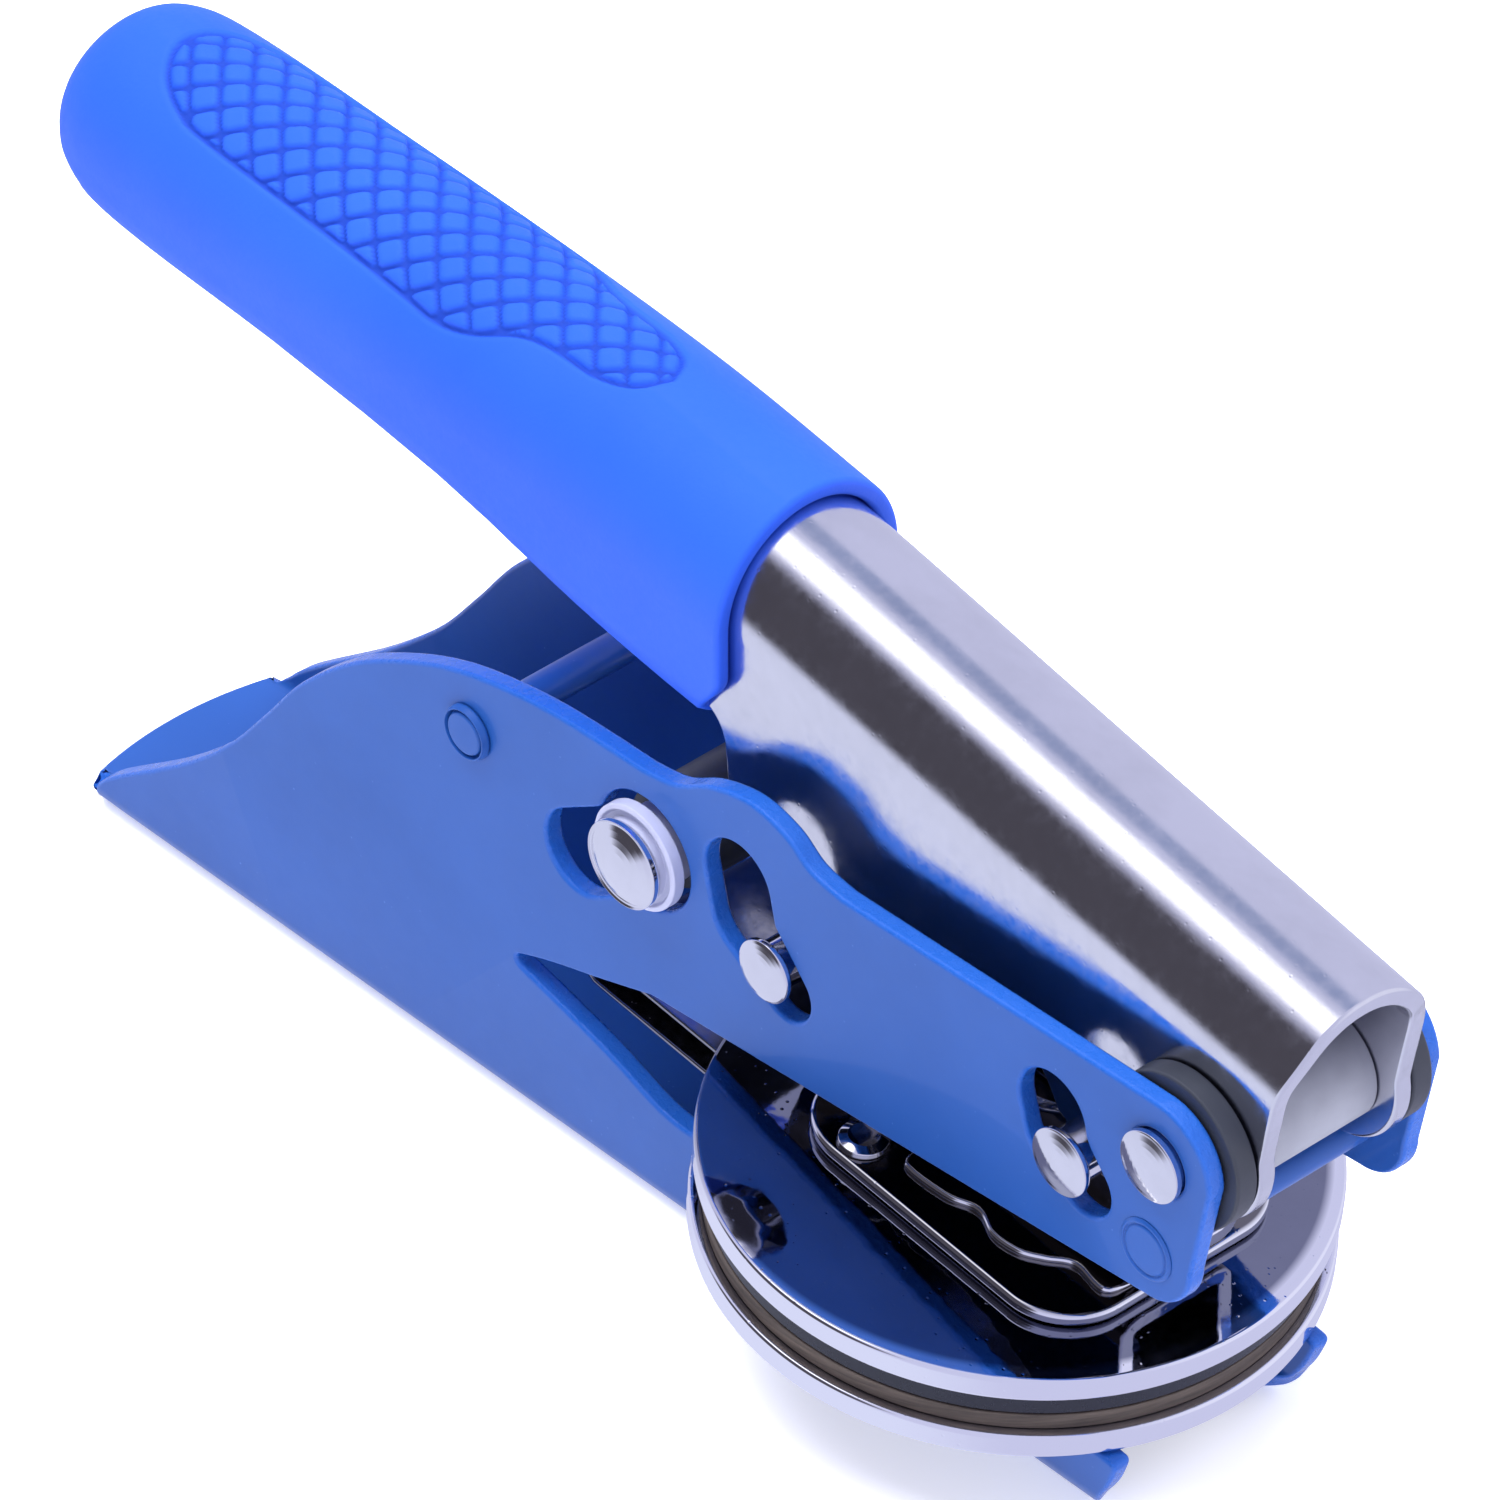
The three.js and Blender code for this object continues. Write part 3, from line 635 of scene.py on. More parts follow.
def plastic_material(name, color, rough):
    """Moulded or turned plastic and dull steel."""
    material, m = new_material(name)
    tone = m.ramp(m.noise(300, 3), 0, 1, 0.3, 0.7)
    m.set(Base_Color=m.mix(tone, tuple(0.86 * c for c in color), color))
    m.set(Roughness=m.ramp(m.noise(1200, 3), rough * 0.8, rough * 1.2))
    m.bump((m.noise(1800, 3), 0.006), (m.noise(260, 2), 0.01))
    return material


def fibre_material():
    """Pressed fibre board: short brown fibres in layers."""
    material, m = new_material("fibre_board")
    layer = m.noise(240, 5, 0.7, (0.3, 0.3, 6.0))
    tone = m.ramp(layer, 0, 1, 0.3, 0.7)
    m.set(Base_Color=m.mix(tone, (0.036, 0.027, 0.023), (0.120, 0.092, 0.074)))
    m.set(Roughness=m.ramp(m.noise(900, 4), 0.6, 0.85))
    m.bump((layer, 0.06), (m.noise(1500, 4), 0.02))
    return material


# The pale colour of the painted highlights on the disc rims and on the plate's edges.
PAINTED_RIM_HIGHLIGHT = (0.90, 0.90, 0.95)
PAINT = paint_material()
SATIN = chrome_material("satin_chrome", (0.82, 0.82, 0.86), 0.16, 0.010, 0.0022, 0.005)
MIRROR = chrome_material("mirror_chrome", (0.82, 0.82, 0.87), 0.035, 0.012, 0.0002, 0.004)
# The discs get a dark chrome colour that paints in the dark reflections on their faces; their rims carry a
# painted highlight.
DISC = chrome_material("disc_painted_reflection_chrome", (0.24, 0.25, 0.33), 0.045, 0.045, 0.0006, 0.012, highlight_rim_r=26.6)
PLATE = chrome_material("plate_chrome", (0.20, 0.19, 0.20), 0.07, 0.060, 0.0006, 0.010, painted_edge_highlight=True)
POLISHED = chrome_material("polished_steel", (0.84, 0.84, 0.89), 0.10, 0.002, 0.0006, 0.0005)
SPRING = chrome_material("spring_steel", (0.34, 0.34, 0.38), 0.2, 0.004, 0.0015, 0.002)
DARK = plastic_material("dark_washer", (0.035, 0.040, 0.055), 0.42)
NYLON = plastic_material("light_nylon", (0.47, 0.49, 0.66), 0.58)
GREY = plastic_material("grey_nylon", (0.30, 0.31, 0.36), 0.40)
RESIN = plastic_material("black_resin", (0.010, 0.012, 0.022), 0.28)
RUBBER = rubber_material()
FIBRE = fibre_material()


# ---- frame ----
def frame_fold():
    """Samples of the folded sheet's middle line: distance from the floor's centre, y and z."""
    lean = math.atan2(1.0, CREASE_Z - FRAME_BEND)
    mid = FRAME_BEND - FRAME_SHEET / 2
    rows = [(0.0, 0.0, FRAME_SHEET / 2), (FRAME_FOOT, FRAME_FOOT, FRAME_SHEET / 2)]
    turn = math.pi / 2 - lean
    for k in range(1, FOLD_STEPS + 1):
        a = turn * k / FOLD_STEPS
        rows.append((FRAME_FOOT + mid * a, FRAME_FOOT + mid * math.sin(a), FRAME_BEND - mid * math.cos(a)))
    s, y, z = rows[-1]
    wall_y = FRAME_HALF - FRAME_SHEET / 2
    rise = (wall_y - y) / math.tan(lean)
    rows.append((s + math.hypot(rise, wall_y - y), wall_y, z + rise))
    s, y, z = rows[-1]
    rows.append((s + 60, y, z + 60))
    return np.array(rows).T


FOLD_S, FOLD_Y, FOLD_Z = frame_fold()


def frame_middle(u, v):
    s = np.abs(v)
    return np.stack([u, np.sign(v) * np.interp(s, FOLD_S, FOLD_Y), np.interp(s, FOLD_S, FOLD_Z)], 1)


def fold_distance(_, z):
    """Distance over the sheet from the floor's centre to the height z, the same at every x."""
    return float(np.interp(z, FOLD_Z[1:], FOLD_S[1:]))


def seat_z(x):
    return DISC_BOTTOM - 0.35 - DISC_TILT * x


def frame_side():
    """The upper outline, the mouth and the nose of one side plate, in (x, z), from rear to front."""
    side = smooth_through([
        (FRAME_REAR, 1.2), (-101, 4.7), (-91, 12.3), (-84, 18.7), (-79, 24.8), (-74, 31.2), (-67.5, 37.1),
        (-61, 41.1), (-54.8, 43.9), (-48.5, 45.6), (-41, 46.7), (-31, 47.1),
    ])
    side += smooth_through([
        (-31, 47.1), (-27, 47.9), (-22.7, 50.2), (-17.9, 51.3), (-13.6, 50.4), (-10.6, 48.5), (-7, 47.8),
    ])
    side += arc(PIVOT[0], PIVOT[2], 6, 0.5 * math.pi, 0)
    side += arc(FRONT_BAR[0], FRONT_BAR[2], 4.9, 0, -0.5 * math.pi)
    side += smooth_through([(-30, 23.7), (-36.4, 21.6), (-42.6, 19.7), (-46.6, 18.2)])
    side += smooth_through([(-46.6, 18.2), (-47.3, 17.6), (-46.4, 17)], 0.25)
    side += smooth_through([(-46.4, 17), (-36.4, 14.2), (-29.5, 11.6), (-25.4, 11.2)])
    side += [(-24.6, seat_z(-24.6)), (NOSE_X, seat_z(NOSE_X))]
    side += smooth_through([(NOSE_X, seat_z(NOSE_X)), (24.3, 4.3), (22.6, 1.6)])
    return side


def frame_openings():
    """The slots and holes of one side plate, in (x, z)."""
    return [
        slot_outline(GUIDE_SLOT),
        slot_outline(PRESS_SLOT),
        keyhole_outline(LOCK_SLOT_END, (LOCK[0] - 0.3, LOCK[2] - 0.2), LOCK_SLOT_R, LOCK_HOLE_R),
        circle_outline(PIVOT, 3.08),
        circle_outline(REAR_BAR, 1.4),
        circle_outline(FRONT_BAR, 1.4),
    ]


def frame_piece():
    # The floor's rear edge bows back in an arc; its front edge has a round-cornered notch.
    radius = (FRAME_HALF**2 + FRAME_BULGE**2) / (2 * FRAME_BULGE)
    half = []
    for y in np.linspace(0, FRAME_FOOT + 1.5, 24):
        x = FRAME_REAR - FRAME_BULGE + radius - math.sqrt(radius**2 - y**2)
        half.append((x, float(np.interp(y, FOLD_Y, FOLD_S))))
    half += [(x, fold_distance(0, z)) for x, z in frame_side()]
    half += smooth_through([
        (22.6, fold_distance(0, 1.6)), (20.9, FRAME_FOOT + 0.5), (18.5, NOTCH_HALF), (16, NOTCH_HALF),
    ])
    corner = NOTCH_CORNER
    half += arc(NOTCH_X + corner, NOTCH_HALF - corner, corner, 0.5 * math.pi, math.pi)
    half += [(NOTCH_X, 0.0)]
    outline = mirrored(dense(without_repeats(half)))
    holes = both_walls(frame_openings(), fold_distance)
    bends = [s for k in range(1, FOLD_STEPS + 2, 3) for s in (FOLD_S[k], -FOLD_S[k])]
    grid = [(x, s) for x in np.arange(-103, 25, 2.0) for s in bends]
    geometry = sheet_geometry([outline, *holes], frame_middle, FRAME_SHEET / 2, 0.45, grid)
    piece("frame_body", geometry, PAINT, "frame", "paint", "frame_channel")


def bar_piece(name, bar, head_r, proud, groove, node):
    """A cross bar whose riveted ends show as painted heads with a ring groove inside the rim."""
    inside = FRAME_HALF - FRAME_SHEET - GAP
    outside = FRAME_HALF + 0.02
    top = outside + proud
    half = [(BAR_R, 0), (BAR_R, inside), (BAR_SHANK_R, inside), (BAR_SHANK_R, outside), (head_r, outside),
            (head_r - 0.3, top), (head_r - groove, top), (head_r - groove - 0.15, outside + 0.03),
            (head_r - groove - 0.35, top), (0, top + 0.05)]
    geometry = lathe_geometry(both_ends(half), "y", bar, 0.3)
    piece(name, geometry, PAINT, "frame", "paint", node)


# ---- lever ----
CROWN = np.array(smooth_through([
    (-103, 74.4), (-80, 74.6), (-60, 74.2), (-42, 73), (-26, 70.9), (10, 64.2), (44, 57.9),
]))
LEVER_MID = LEVER_HALF - LEVER_SHEET / 2
LEVER_QUARTER = math.pi / 2 * LEVER_MID


def lever_middle(u, v):
    # The crown is smoothed so that its polished surface has no kinks.
    crown = sum(np.interp(u + shift, CROWN[:, 0], CROWN[:, 1]) for shift in (0, -1.5, 1.5, -3.0, 3.0)) / 5
    a = np.abs(v)
    turn = np.minimum(a / LEVER_MID, math.pi / 2)
    y = np.sign(v) * LEVER_MID * np.sin(turn)
    z = crown - LEVER_SHEET / 2 - LEVER_MID * (1 - np.cos(turn)) - np.maximum(0, a - LEVER_QUARTER)
    return np.stack([u, y, z], 1)


def lever_distance(x, z):
    """Distance over the arch from the crown to the height z."""
    top = lever_middle(np.array([float(x)]), np.array([0.0]))[0][2]
    drop = top - z
    if drop <= 0:
        return 0.0
    if drop < LEVER_MID:
        return LEVER_MID * math.acos(1 - drop / LEVER_MID)
    return LEVER_QUARTER + drop - LEVER_MID


def lever_side():
    """The lower edge and the mouth of one wall, in (x, z), from rear to front."""
    side = smooth_through([
        (LEVER_REAR, 64.2), (-80, 62.4), (-64, 60.3), (-48, 57.2), (-38, 55), (-30.5, 53.8),
    ])
    side += smooth_through([(-30.5, 53.8), (-27.6, 53), (-26.1, 51), (-25.7, 47.5)])
    side += arc(-23.7, 46.5, 2, math.pi, 1.5 * math.pi)
    side += smooth_through([(6, 41.5), (11.5, 39.5), (14.2, 35.6)])
    side += arc(PRESS_PIN[0], PRESS_PIN[2], 4.9, 1.1 * math.pi, 1.72 * math.pi)
    side += arc(PIVOT[0], PIVOT[2], 7.3, 1.35 * math.pi, 2.06 * math.pi)
    side += smooth_through([(37.4, 44.4), (38.2, 48.6), (38.9, 51.8), (39.9, 55.2), (40.4, 60)])
    return side


def lever_piece():
    half = dense([(LEVER_REAR, 0.0), (LEVER_REAR, LEVER_QUARTER)])
    for x, z in dense(lever_side(), 0.5):
        half.append((x, lever_distance(x, z)))
        if half[-1][1] == 0:
            break
    half = dense(without_repeats(half))
    half[-1] = (half[-1][0], 0.0)
    bores = [circle_outline(PIVOT, PIVOT_BORE), circle_outline(PRESS_PIN, LEVER_PRESS_BORE)]
    holes = both_walls(bores, lever_distance)
    # Rows over the sheet: close together on the arch, every fourth one on the flat walls.
    rows = [s for s in np.arange(-40, 40.1, 0.8) if abs(s) < LEVER_QUARTER + 1 or round(s / 0.8) % 4 == 0]
    grid = [(x, s) for x in np.arange(-97, 44, 1.5) for s in rows]
    geometry = sheet_geometry([mirrored(half), *holes], lever_middle, LEVER_SHEET / 2, 0.35, grid)
    piece("lever_arm", geometry, SATIN, "lever", "satin_chrome", "lever_channel")


# ---- grip ----
GRIP_X = [-111.4, -110.7, -107.8, -100.5, -80, -60, -42, -25.5]
GRIP_TOP = [71.2, 73.8, 76.3, 77, 76.7, 76.1, 74.9, 72.6]
GRIP_LOW = [66.8, 64.9, 62.8, 61.4, 60, 57.7, 53.9, 51.8]
GRIP_WIDE = [3.6, 6.4, 9.1, 10.1, 10.2, 10.2, 10.2, 10.2]
GRIP_LIP = GRIP_X[-1]
GRIP_AROUND = 240
GRIP_WALL = 1.62
LIP_SOFT = 0.55
LIP_SWEEP = 2.9
TAIL_DOME = 0.45
SEAM_UP = 1.7
SEAM_HALF = 0.2
SEAM_PROUD = 0.10
TREAD_PITCH = 3.9
TREAD_DEEP = 0.5


def grip_section(top, low, half):
    """One closed section (y, z) with even spacing, from the middle of the underside round the near side."""
    crown = min(half, (top - low) * 0.62)
    corner = min(4.2, (top - low) * 0.35, half * 0.8)
    points = [(0.0, low)]
    for t in np.linspace(0, math.pi / 2, 24):
        points.append((-(half - corner) - corner * math.sin(t), low + corner - corner * math.cos(t)))
    for t in np.linspace(0, math.pi / 2, 60):
        points.append((-half * math.cos(t), top - crown + crown * math.sin(t)))
    points = np.array(points)
    points = np.concatenate([points, points[-2:0:-1] * (-1, 1)])
    closed = np.concatenate([points, points[:1]])
    length = np.concatenate([[0], np.cumsum(np.hypot(*np.diff(closed, axis=0).T))])
    at = np.linspace(0, length[-1], GRIP_AROUND, endpoint=False)
    return np.stack([np.interp(at, length, closed[:, k]) for k in (0, 1)], 1), length[-1]


def smoothstep(x, low, high):
    t = np.clip((x - low) / (high - low), 0, 1)
    return t * t * (3 - 2 * t)


def tread_outline():
    """The tread's patch, as (x, distance over the crown)."""
    return mirrored(smooth_through([
        (-102.4, 0), (-101.9, 2.0), (-99.9, 4.6), (-96.6, 6.5), (-92.5, 7.3), (-76.5, 7.9), (-67.3, 8.4),
        (-62.5, 8.7), (-58.7, 7.8), (-54.6, 5.5), (-51.2, 4.7), (-46.4, 4.4), (-42.8, 2.9), (-41.2, 0),
    ], 1.0))


def distance_inside(x, s, outline):
    """Distance to the outline, positive inside it."""
    points = np.stack([x.ravel(), s.ravel()], 1)
    best = np.full(len(points), 1e9)
    a = np.array(outline)
    for p, q in zip(a, np.roll(a, -1, axis=0)):
        d = q - p
        t = np.clip(((points - p) @ d) / (d @ d), 0, 1)
        best = np.minimum(best, np.hypot(*(points - p - t[:, None] * d).T))
    return (best * np.where(is_inside(points, [outline]), 1, -1)).reshape(x.shape)


def tread_height(x, s):
    """How far the tread moves the surface, in mm: a sunk patch that holds raised diamond tiles."""
    inside = distance_inside(x, s, tread_outline())
    near = []
    for line in ((x + s) / TREAD_PITCH, (x - s) / TREAD_PITCH):
        near.append(np.abs(line - np.round(line)) * TREAD_PITCH / math.sqrt(2))
    to_groove = np.minimum(*near)
    # A soft minimum rounds the tiles' corners.
    tile = smoothstep(-np.log(np.exp(-4 * near[0]) + np.exp(-4 * near[1])) / 4, 0.04, 0.36)
    tile = np.minimum(tile, smoothstep(to_groove, 0.08, 0.36)) * smoothstep(inside, 0.35, 0.8)
    return -TREAD_DEEP * smoothstep(inside, -0.15, 0.3) * (1 - 0.85 * tile)


def grip_rows():
    """The grip's sections from tail to lip, as arrays of points and of distances over the crown."""
    knots = np.arange(len(GRIP_X))
    table = {}
    for key, values in (("x", GRIP_X), ("top", GRIP_TOP), ("low", GRIP_LOW), ("half", GRIP_WIDE)):
        curve = np.array(smooth_through([(k, v) for k, v in zip(knots * 20.0, values)], 0.5))
        table[key] = np.interp(np.linspace(0, knots[-1] * 20.0, 400), curve[:, 0], curve[:, 1])
    length = np.concatenate([[0], np.cumsum(np.hypot(np.diff(table["x"]), np.diff(table["half"])))])
    at = np.linspace(0, length[-1], 290)
    rows, over = [], []
    for d in at:
        x, top, low, half = (np.interp(d, length, table[k]) for k in ("x", "top", "low", "half"))
        section, around = grip_section(top, low, half)
        rows.append(np.column_stack([np.full(GRIP_AROUND, x), section]))
        over.append((np.arange(GRIP_AROUND) / GRIP_AROUND - 0.5) * around)
    return np.array(rows), np.array(over)


def grip_piece():
    rows, over = grip_rows()
    lip_z = rows[-1][:, 2]
    sweep = LIP_SWEEP * smoothstep(-lip_z, -58, -52.5)
    pull = smoothstep(rows[:, :1, 0], -46, GRIP_LIP)
    rows[:, :, 0] -= pull * sweep[None, :]
    du = np.gradient(rows, axis=0)
    dv = np.roll(rows, -1, axis=1) - np.roll(rows, 1, axis=1)
    normal = np.cross(du, dv)
    normal /= np.maximum(np.linalg.norm(normal, axis=2), 1e-9)[:, :, None]
    if normal[150, GRIP_AROUND // 2, 2] < 0:
        normal = -normal
    height = tread_height(rows[:, :, 0], over)
    seam = rows[:, :, 2] - rows[:, :1, 2] - SEAM_UP
    height += SEAM_PROUD * np.exp(-((seam / SEAM_HALF) ** 2)) * (rows[:, :, 0] > -106)
    outer = rows + normal * height[:, :, None]
    rings = [outer[i] for i in range(len(outer))]
    # The lip turns in and runs back under the outer skin.
    last, out = outer[-1], normal[-1]
    flat_out = out * (0, 1, 1)
    flat_out /= np.linalg.norm(flat_out, axis=1)[:, None]
    quarter = [math.pi / 2 * k / 6 for k in range(1, 7)]
    lip = [(LIP_SOFT * math.sin(a), LIP_SOFT * (1 - math.cos(a))) for a in quarter]
    lip += [(LIP_SOFT * math.cos(a), GRIP_WALL - LIP_SOFT + LIP_SOFT * math.sin(a)) for a in quarter]
    lip += [(-back, GRIP_WALL) for back in (1.5, 4, 8, 12)]
    for ahead, inward in lip:
        rings.append(last + np.array([ahead, 0, 0]) - flat_out * inward)
    # The tail closes in a low dome.
    tail = outer[0]
    centre = tail.mean(0)
    caps = []
    for k in range(1, 6):
        a = math.pi / 2 * k / 6
        caps.append(centre + (tail - centre) * math.cos(a) - np.array([TAIL_DOME * math.sin(a), 0, 0]))
    rings = caps[::-1] + rings
    count = GRIP_AROUND
    points = np.concatenate(rings + [[centre - (TAIL_DOME, 0, 0)]])
    faces = []
    for i in range(len(rings) - 1):
        for j in range(count):
            a, b = i * count + j, i * count + (j + 1) % count
            faces.append((a, a + count, b + count, b))
    tip = len(points) - 1
    faces += [(tip, j, (j + 1) % count) for j in range(count)]
    end = (len(rings) - 1) * count
    faces.append(tuple(end + j for j in range(count))[::-1])
    # How far the tread sinks at each point; the rubber paints shade into the grooves from it.
    sunk = np.zeros(len(points))
    start = len(caps) * count
    sunk[start:start + height.size] = np.clip(-height.ravel() / TREAD_DEEP, 0, 1)
    piece("grip_sleeve", (points, faces, None, sunk), RUBBER, "lever", "rubber_grip", "grip")


# ---- pins and bushes ----
def pin_piece(name, at, shank, head_r, head_low, thick, dome, body, node):
    """A pin with a low domed, round-edged head outside each wall."""
    half = [(shank, 0), (shank, head_low), (head_r, head_low), (head_r, head_low + 0.5 * thick)]
    steps = 7
    for k in range(steps + 1):
        a = k / steps
        r = (head_r - 0.25) * (1 - a)
        half.append((r, head_low + thick - dome * (r / head_r) ** 2))
    geometry = lathe_geometry(both_ends(half), "y", at, 0.28)
    piece(name, geometry, POLISHED, body, "polished_steel", node)


def tube_piece(name, at, outer, inner, low, high, rounding, material, body, slot, node):
    profile = [(inner, low), (outer, low), (outer, high), (inner, high)]
    geometry = lathe_geometry(profile, "y", at, rounding, closed=True)
    piece(name, geometry, material, body, slot, node)


def collar_piece(name, side, node):
    """The stepped collar of the lock pin: a shoulder in the keyhole, a flange outside and a sunk ring."""
    inner, wall = FRAME_HALF - FRAME_SHEET - 0.2, FRAME_HALF + GAP
    profile = [(LOCK_BORE, inner), (3.6, inner), (3.6, wall), (4.95, wall), (4.95, wall + 1.15),
               (4.45, wall + 1.35), (4.25, wall + 0.95), (3.7, wall + 0.95), (3.7, wall + 1.7),
               (LOCK_BORE, wall + 1.7)]
    if side < 0:
        profile = [(r, -y) for r, y in profile][::-1]
    geometry = lathe_geometry(profile, "y", LOCK, 0.18, closed=True)
    piece(name, geometry, NYLON, "lock", "grey_nylon", node)


# ---- die insert ----
def flat_at(z):
    return lambda u, v: np.stack([u, v, np.full(len(u), z)], 1)


def disc_geometry(z):
    profile = [(0, z), (DISC_R, z), (DISC_R, z + DISC_THICK), (0, z + DISC_THICK)]
    return in_insert(lathe_geometry(profile, "z", (0, 0), 0.42, 256))


def die_geometry(low, high):
    half = math.acos(DIE_FLAT_X / DIE_R)
    outline = dense(arc(0, 0, DIE_R, -half, half, 0.6), 1.0, closed=True)
    return in_insert(sheet_geometry([outline], flat_at((low + high) / 2), (high - low) / 2, 0.12))


def strap_piece():
    """The spring strap, from the lower disc round the back to the upper disc."""
    low = DISC_THICK + GAP + STRAP_THICK / 2
    high = UPPER_Z - GAP - STRAP_THICK / 2
    bend = (high - low) / 2
    straight = STRAP_FRONT - STRAP_REAR - bend
    turn = math.pi * bend

    def middle(u, v):
        lower = np.clip(u, 0, straight)
        curved = np.clip(u - straight, 0, turn) / bend
        upper = np.clip(u - straight - turn, 0, straight)
        x = STRAP_FRONT - lower + upper - bend * np.sin(curved)
        z = low + bend * (1 - np.cos(curved))
        return np.stack([x, v, z], 1)

    total = 2 * straight + turn
    narrow, wide = STRAP_HALF, STRAP_END_HALF
    half = [(0, 0), (0, wide), (2.0, wide), (3.6, narrow), (total - 3.6, narrow), (total - 2, wide),
            (total, wide), (total, 0)]
    outline = mirrored(dense([tuple(map(float, p)) for p in half]))
    across = np.arange(-10, 10.1, 2)
    grid = [(u, v) for u in np.arange(straight - 1, straight + turn + 1, 0.4) for v in across]
    geometry = in_insert(sheet_geometry([outline], middle, STRAP_THICK / 2, 0.2, grid))
    points, faces, _, marks = geometry
    obj = make_mesh("spring_strap", points, faces, None, marks)
    obj.data.materials.append(SPRING)
    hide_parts("insert_spring")
    ends = in_insert((np.array([[-30, 0, low], [-30, 0, high]]), [], np.zeros((2, 3)), None))[0] * MM
    tuple(ends[0])
    tuple(ends[1])
    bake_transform(obj)


def rivet_geometry(x, y, tail, seat, crown, r, head_r):
    """A rivet from the tail height to the crown of its head, which sits on seat; it may point either way."""
    middle = seat + 0.6 * (crown - seat)
    profile = [(0, tail), (r, tail), (r, seat), (head_r, seat), (head_r * 0.93, middle),
               (head_r * 0.6, crown), (0, crown)]
    if crown < tail:
        profile = profile[::-1]
    return in_insert(lathe_geometry(profile, "z", (x, y), 0.12, 48))


# ---- presser ----
def rounded_rect(x0, x1, half, r):
    out = arc(x1 - r, -half + r, r, -0.5 * math.pi, 0)
    out += arc(x1 - r, half - r, r, 0, 0.5 * math.pi)
    out += arc(x0 + r, half - r, r, 0.5 * math.pi, math.pi)
    out += arc(x0 + r, -half + r, r, math.pi, 1.5 * math.pi)
    return dense(without_repeats(out), 1.0, closed=True)


def presser_piece():
    outline = rounded_rect(*PLATE_X, PLATE_HALF, PLATE_CORNER)
    middle = flat_at(PLATE_Z + PLATE_THICK / 2)
    plate = in_insert(sheet_geometry([outline], middle, PLATE_THICK / 2, 0.5))
    wave = smooth_through([
        (18.4, 0), (18, 7), (14, 7.2), (12, 8.7), (10, 9.9), (7.2, 10.2), (4.4, 9.2), (1.5, 10.2),
        (-3.4, 10.3), (-4.6, 7.9), (-12.4, 7.4),
    ])
    outline = dense(without_repeats(mirrored(wave + [(-13.2, 0)])), closed=True)
    middle = flat_at(PLATE_Z + PLATE_THICK + 0.2)
    doubler = in_insert(sheet_geometry([outline], middle, 0.4, 0.38))
    piece("presser_foot", joined([plate, doubler, cheek_geometry()]), PLATE, "presser",
          "mirror_chrome", "presser_bracket")


def cheek_geometry():
    """A folded channel: a web on the foot plate and two cheeks up to the pins."""
    sheet = bend = CHEEK_SHEET
    mid = CHEEK_OUTER - sheet / 2
    flat = mid - bend
    turn = math.pi / 2 * bend

    def base(x):
        return 21.2 - 0.115 * x + sheet / 2

    def middle(u, v):
        a = np.abs(v)
        angle = np.clip(a - flat, 0, turn) / bend
        y = np.minimum(a, flat) + bend * np.sin(angle)
        z = base(u) + bend * (1 - np.cos(angle)) + np.maximum(0, a - flat - turn)
        return np.stack([u, np.sign(v) * y, z], 1)

    def distance(x, z):
        rise = z - base(x)
        if rise < bend:
            return flat + bend * math.acos(1 - max(rise, 0) / bend)
        return flat + turn + rise - bend

    side = [(-17.5, 24.6)] + arc(GUIDE_PIN[0], GUIDE_PIN[2], 4.3, 1.06 * math.pi, 0.12 * math.pi)
    side += smooth_through([(-6, 31.6), (4, 31.2), (12, 33.5), (15.6, 38.6)])
    side += arc(PRESS_PIN[0], PRESS_PIN[2], 4.6, 0.8 * math.pi, -0.1 * math.pi)
    side += [(24.2, 35.5), (20.5, 20.6)]
    half = [(-17.5, 0.0)] + [(x, distance(x, z)) for x, z in dense(side, 0.6)] + [(20.5, 0.0)]
    outline = mirrored(dense(without_repeats(half)))
    bends = [side * (flat + turn * k / 5) for k in range(6) for side in (1, -1)]
    grid = [(x, s) for x in np.arange(-17, 21, 1.5) for s in bends]
    bores = [circle_outline(PRESS_PIN, PRESS_BORE), circle_outline(GUIDE_PIN, GUIDE_BORE)]
    holes = both_walls(bores, distance)
    return sheet_geometry([outline, *holes], middle, sheet / 2, 0.3, grid)


# ---- assembly ----
def build_lever_and_frame():
    frame_piece()
    bar_piece("rear_bar", REAR_BAR, head_r=2.7, proud=0.8, groove=0.4, node="rear_cross_bar")
    bar_piece("front_bar", FRONT_BAR, head_r=3.0, proud=0.25, groove=0.45, node="front_cross_bar")
    lever_piece()
    grip_piece()


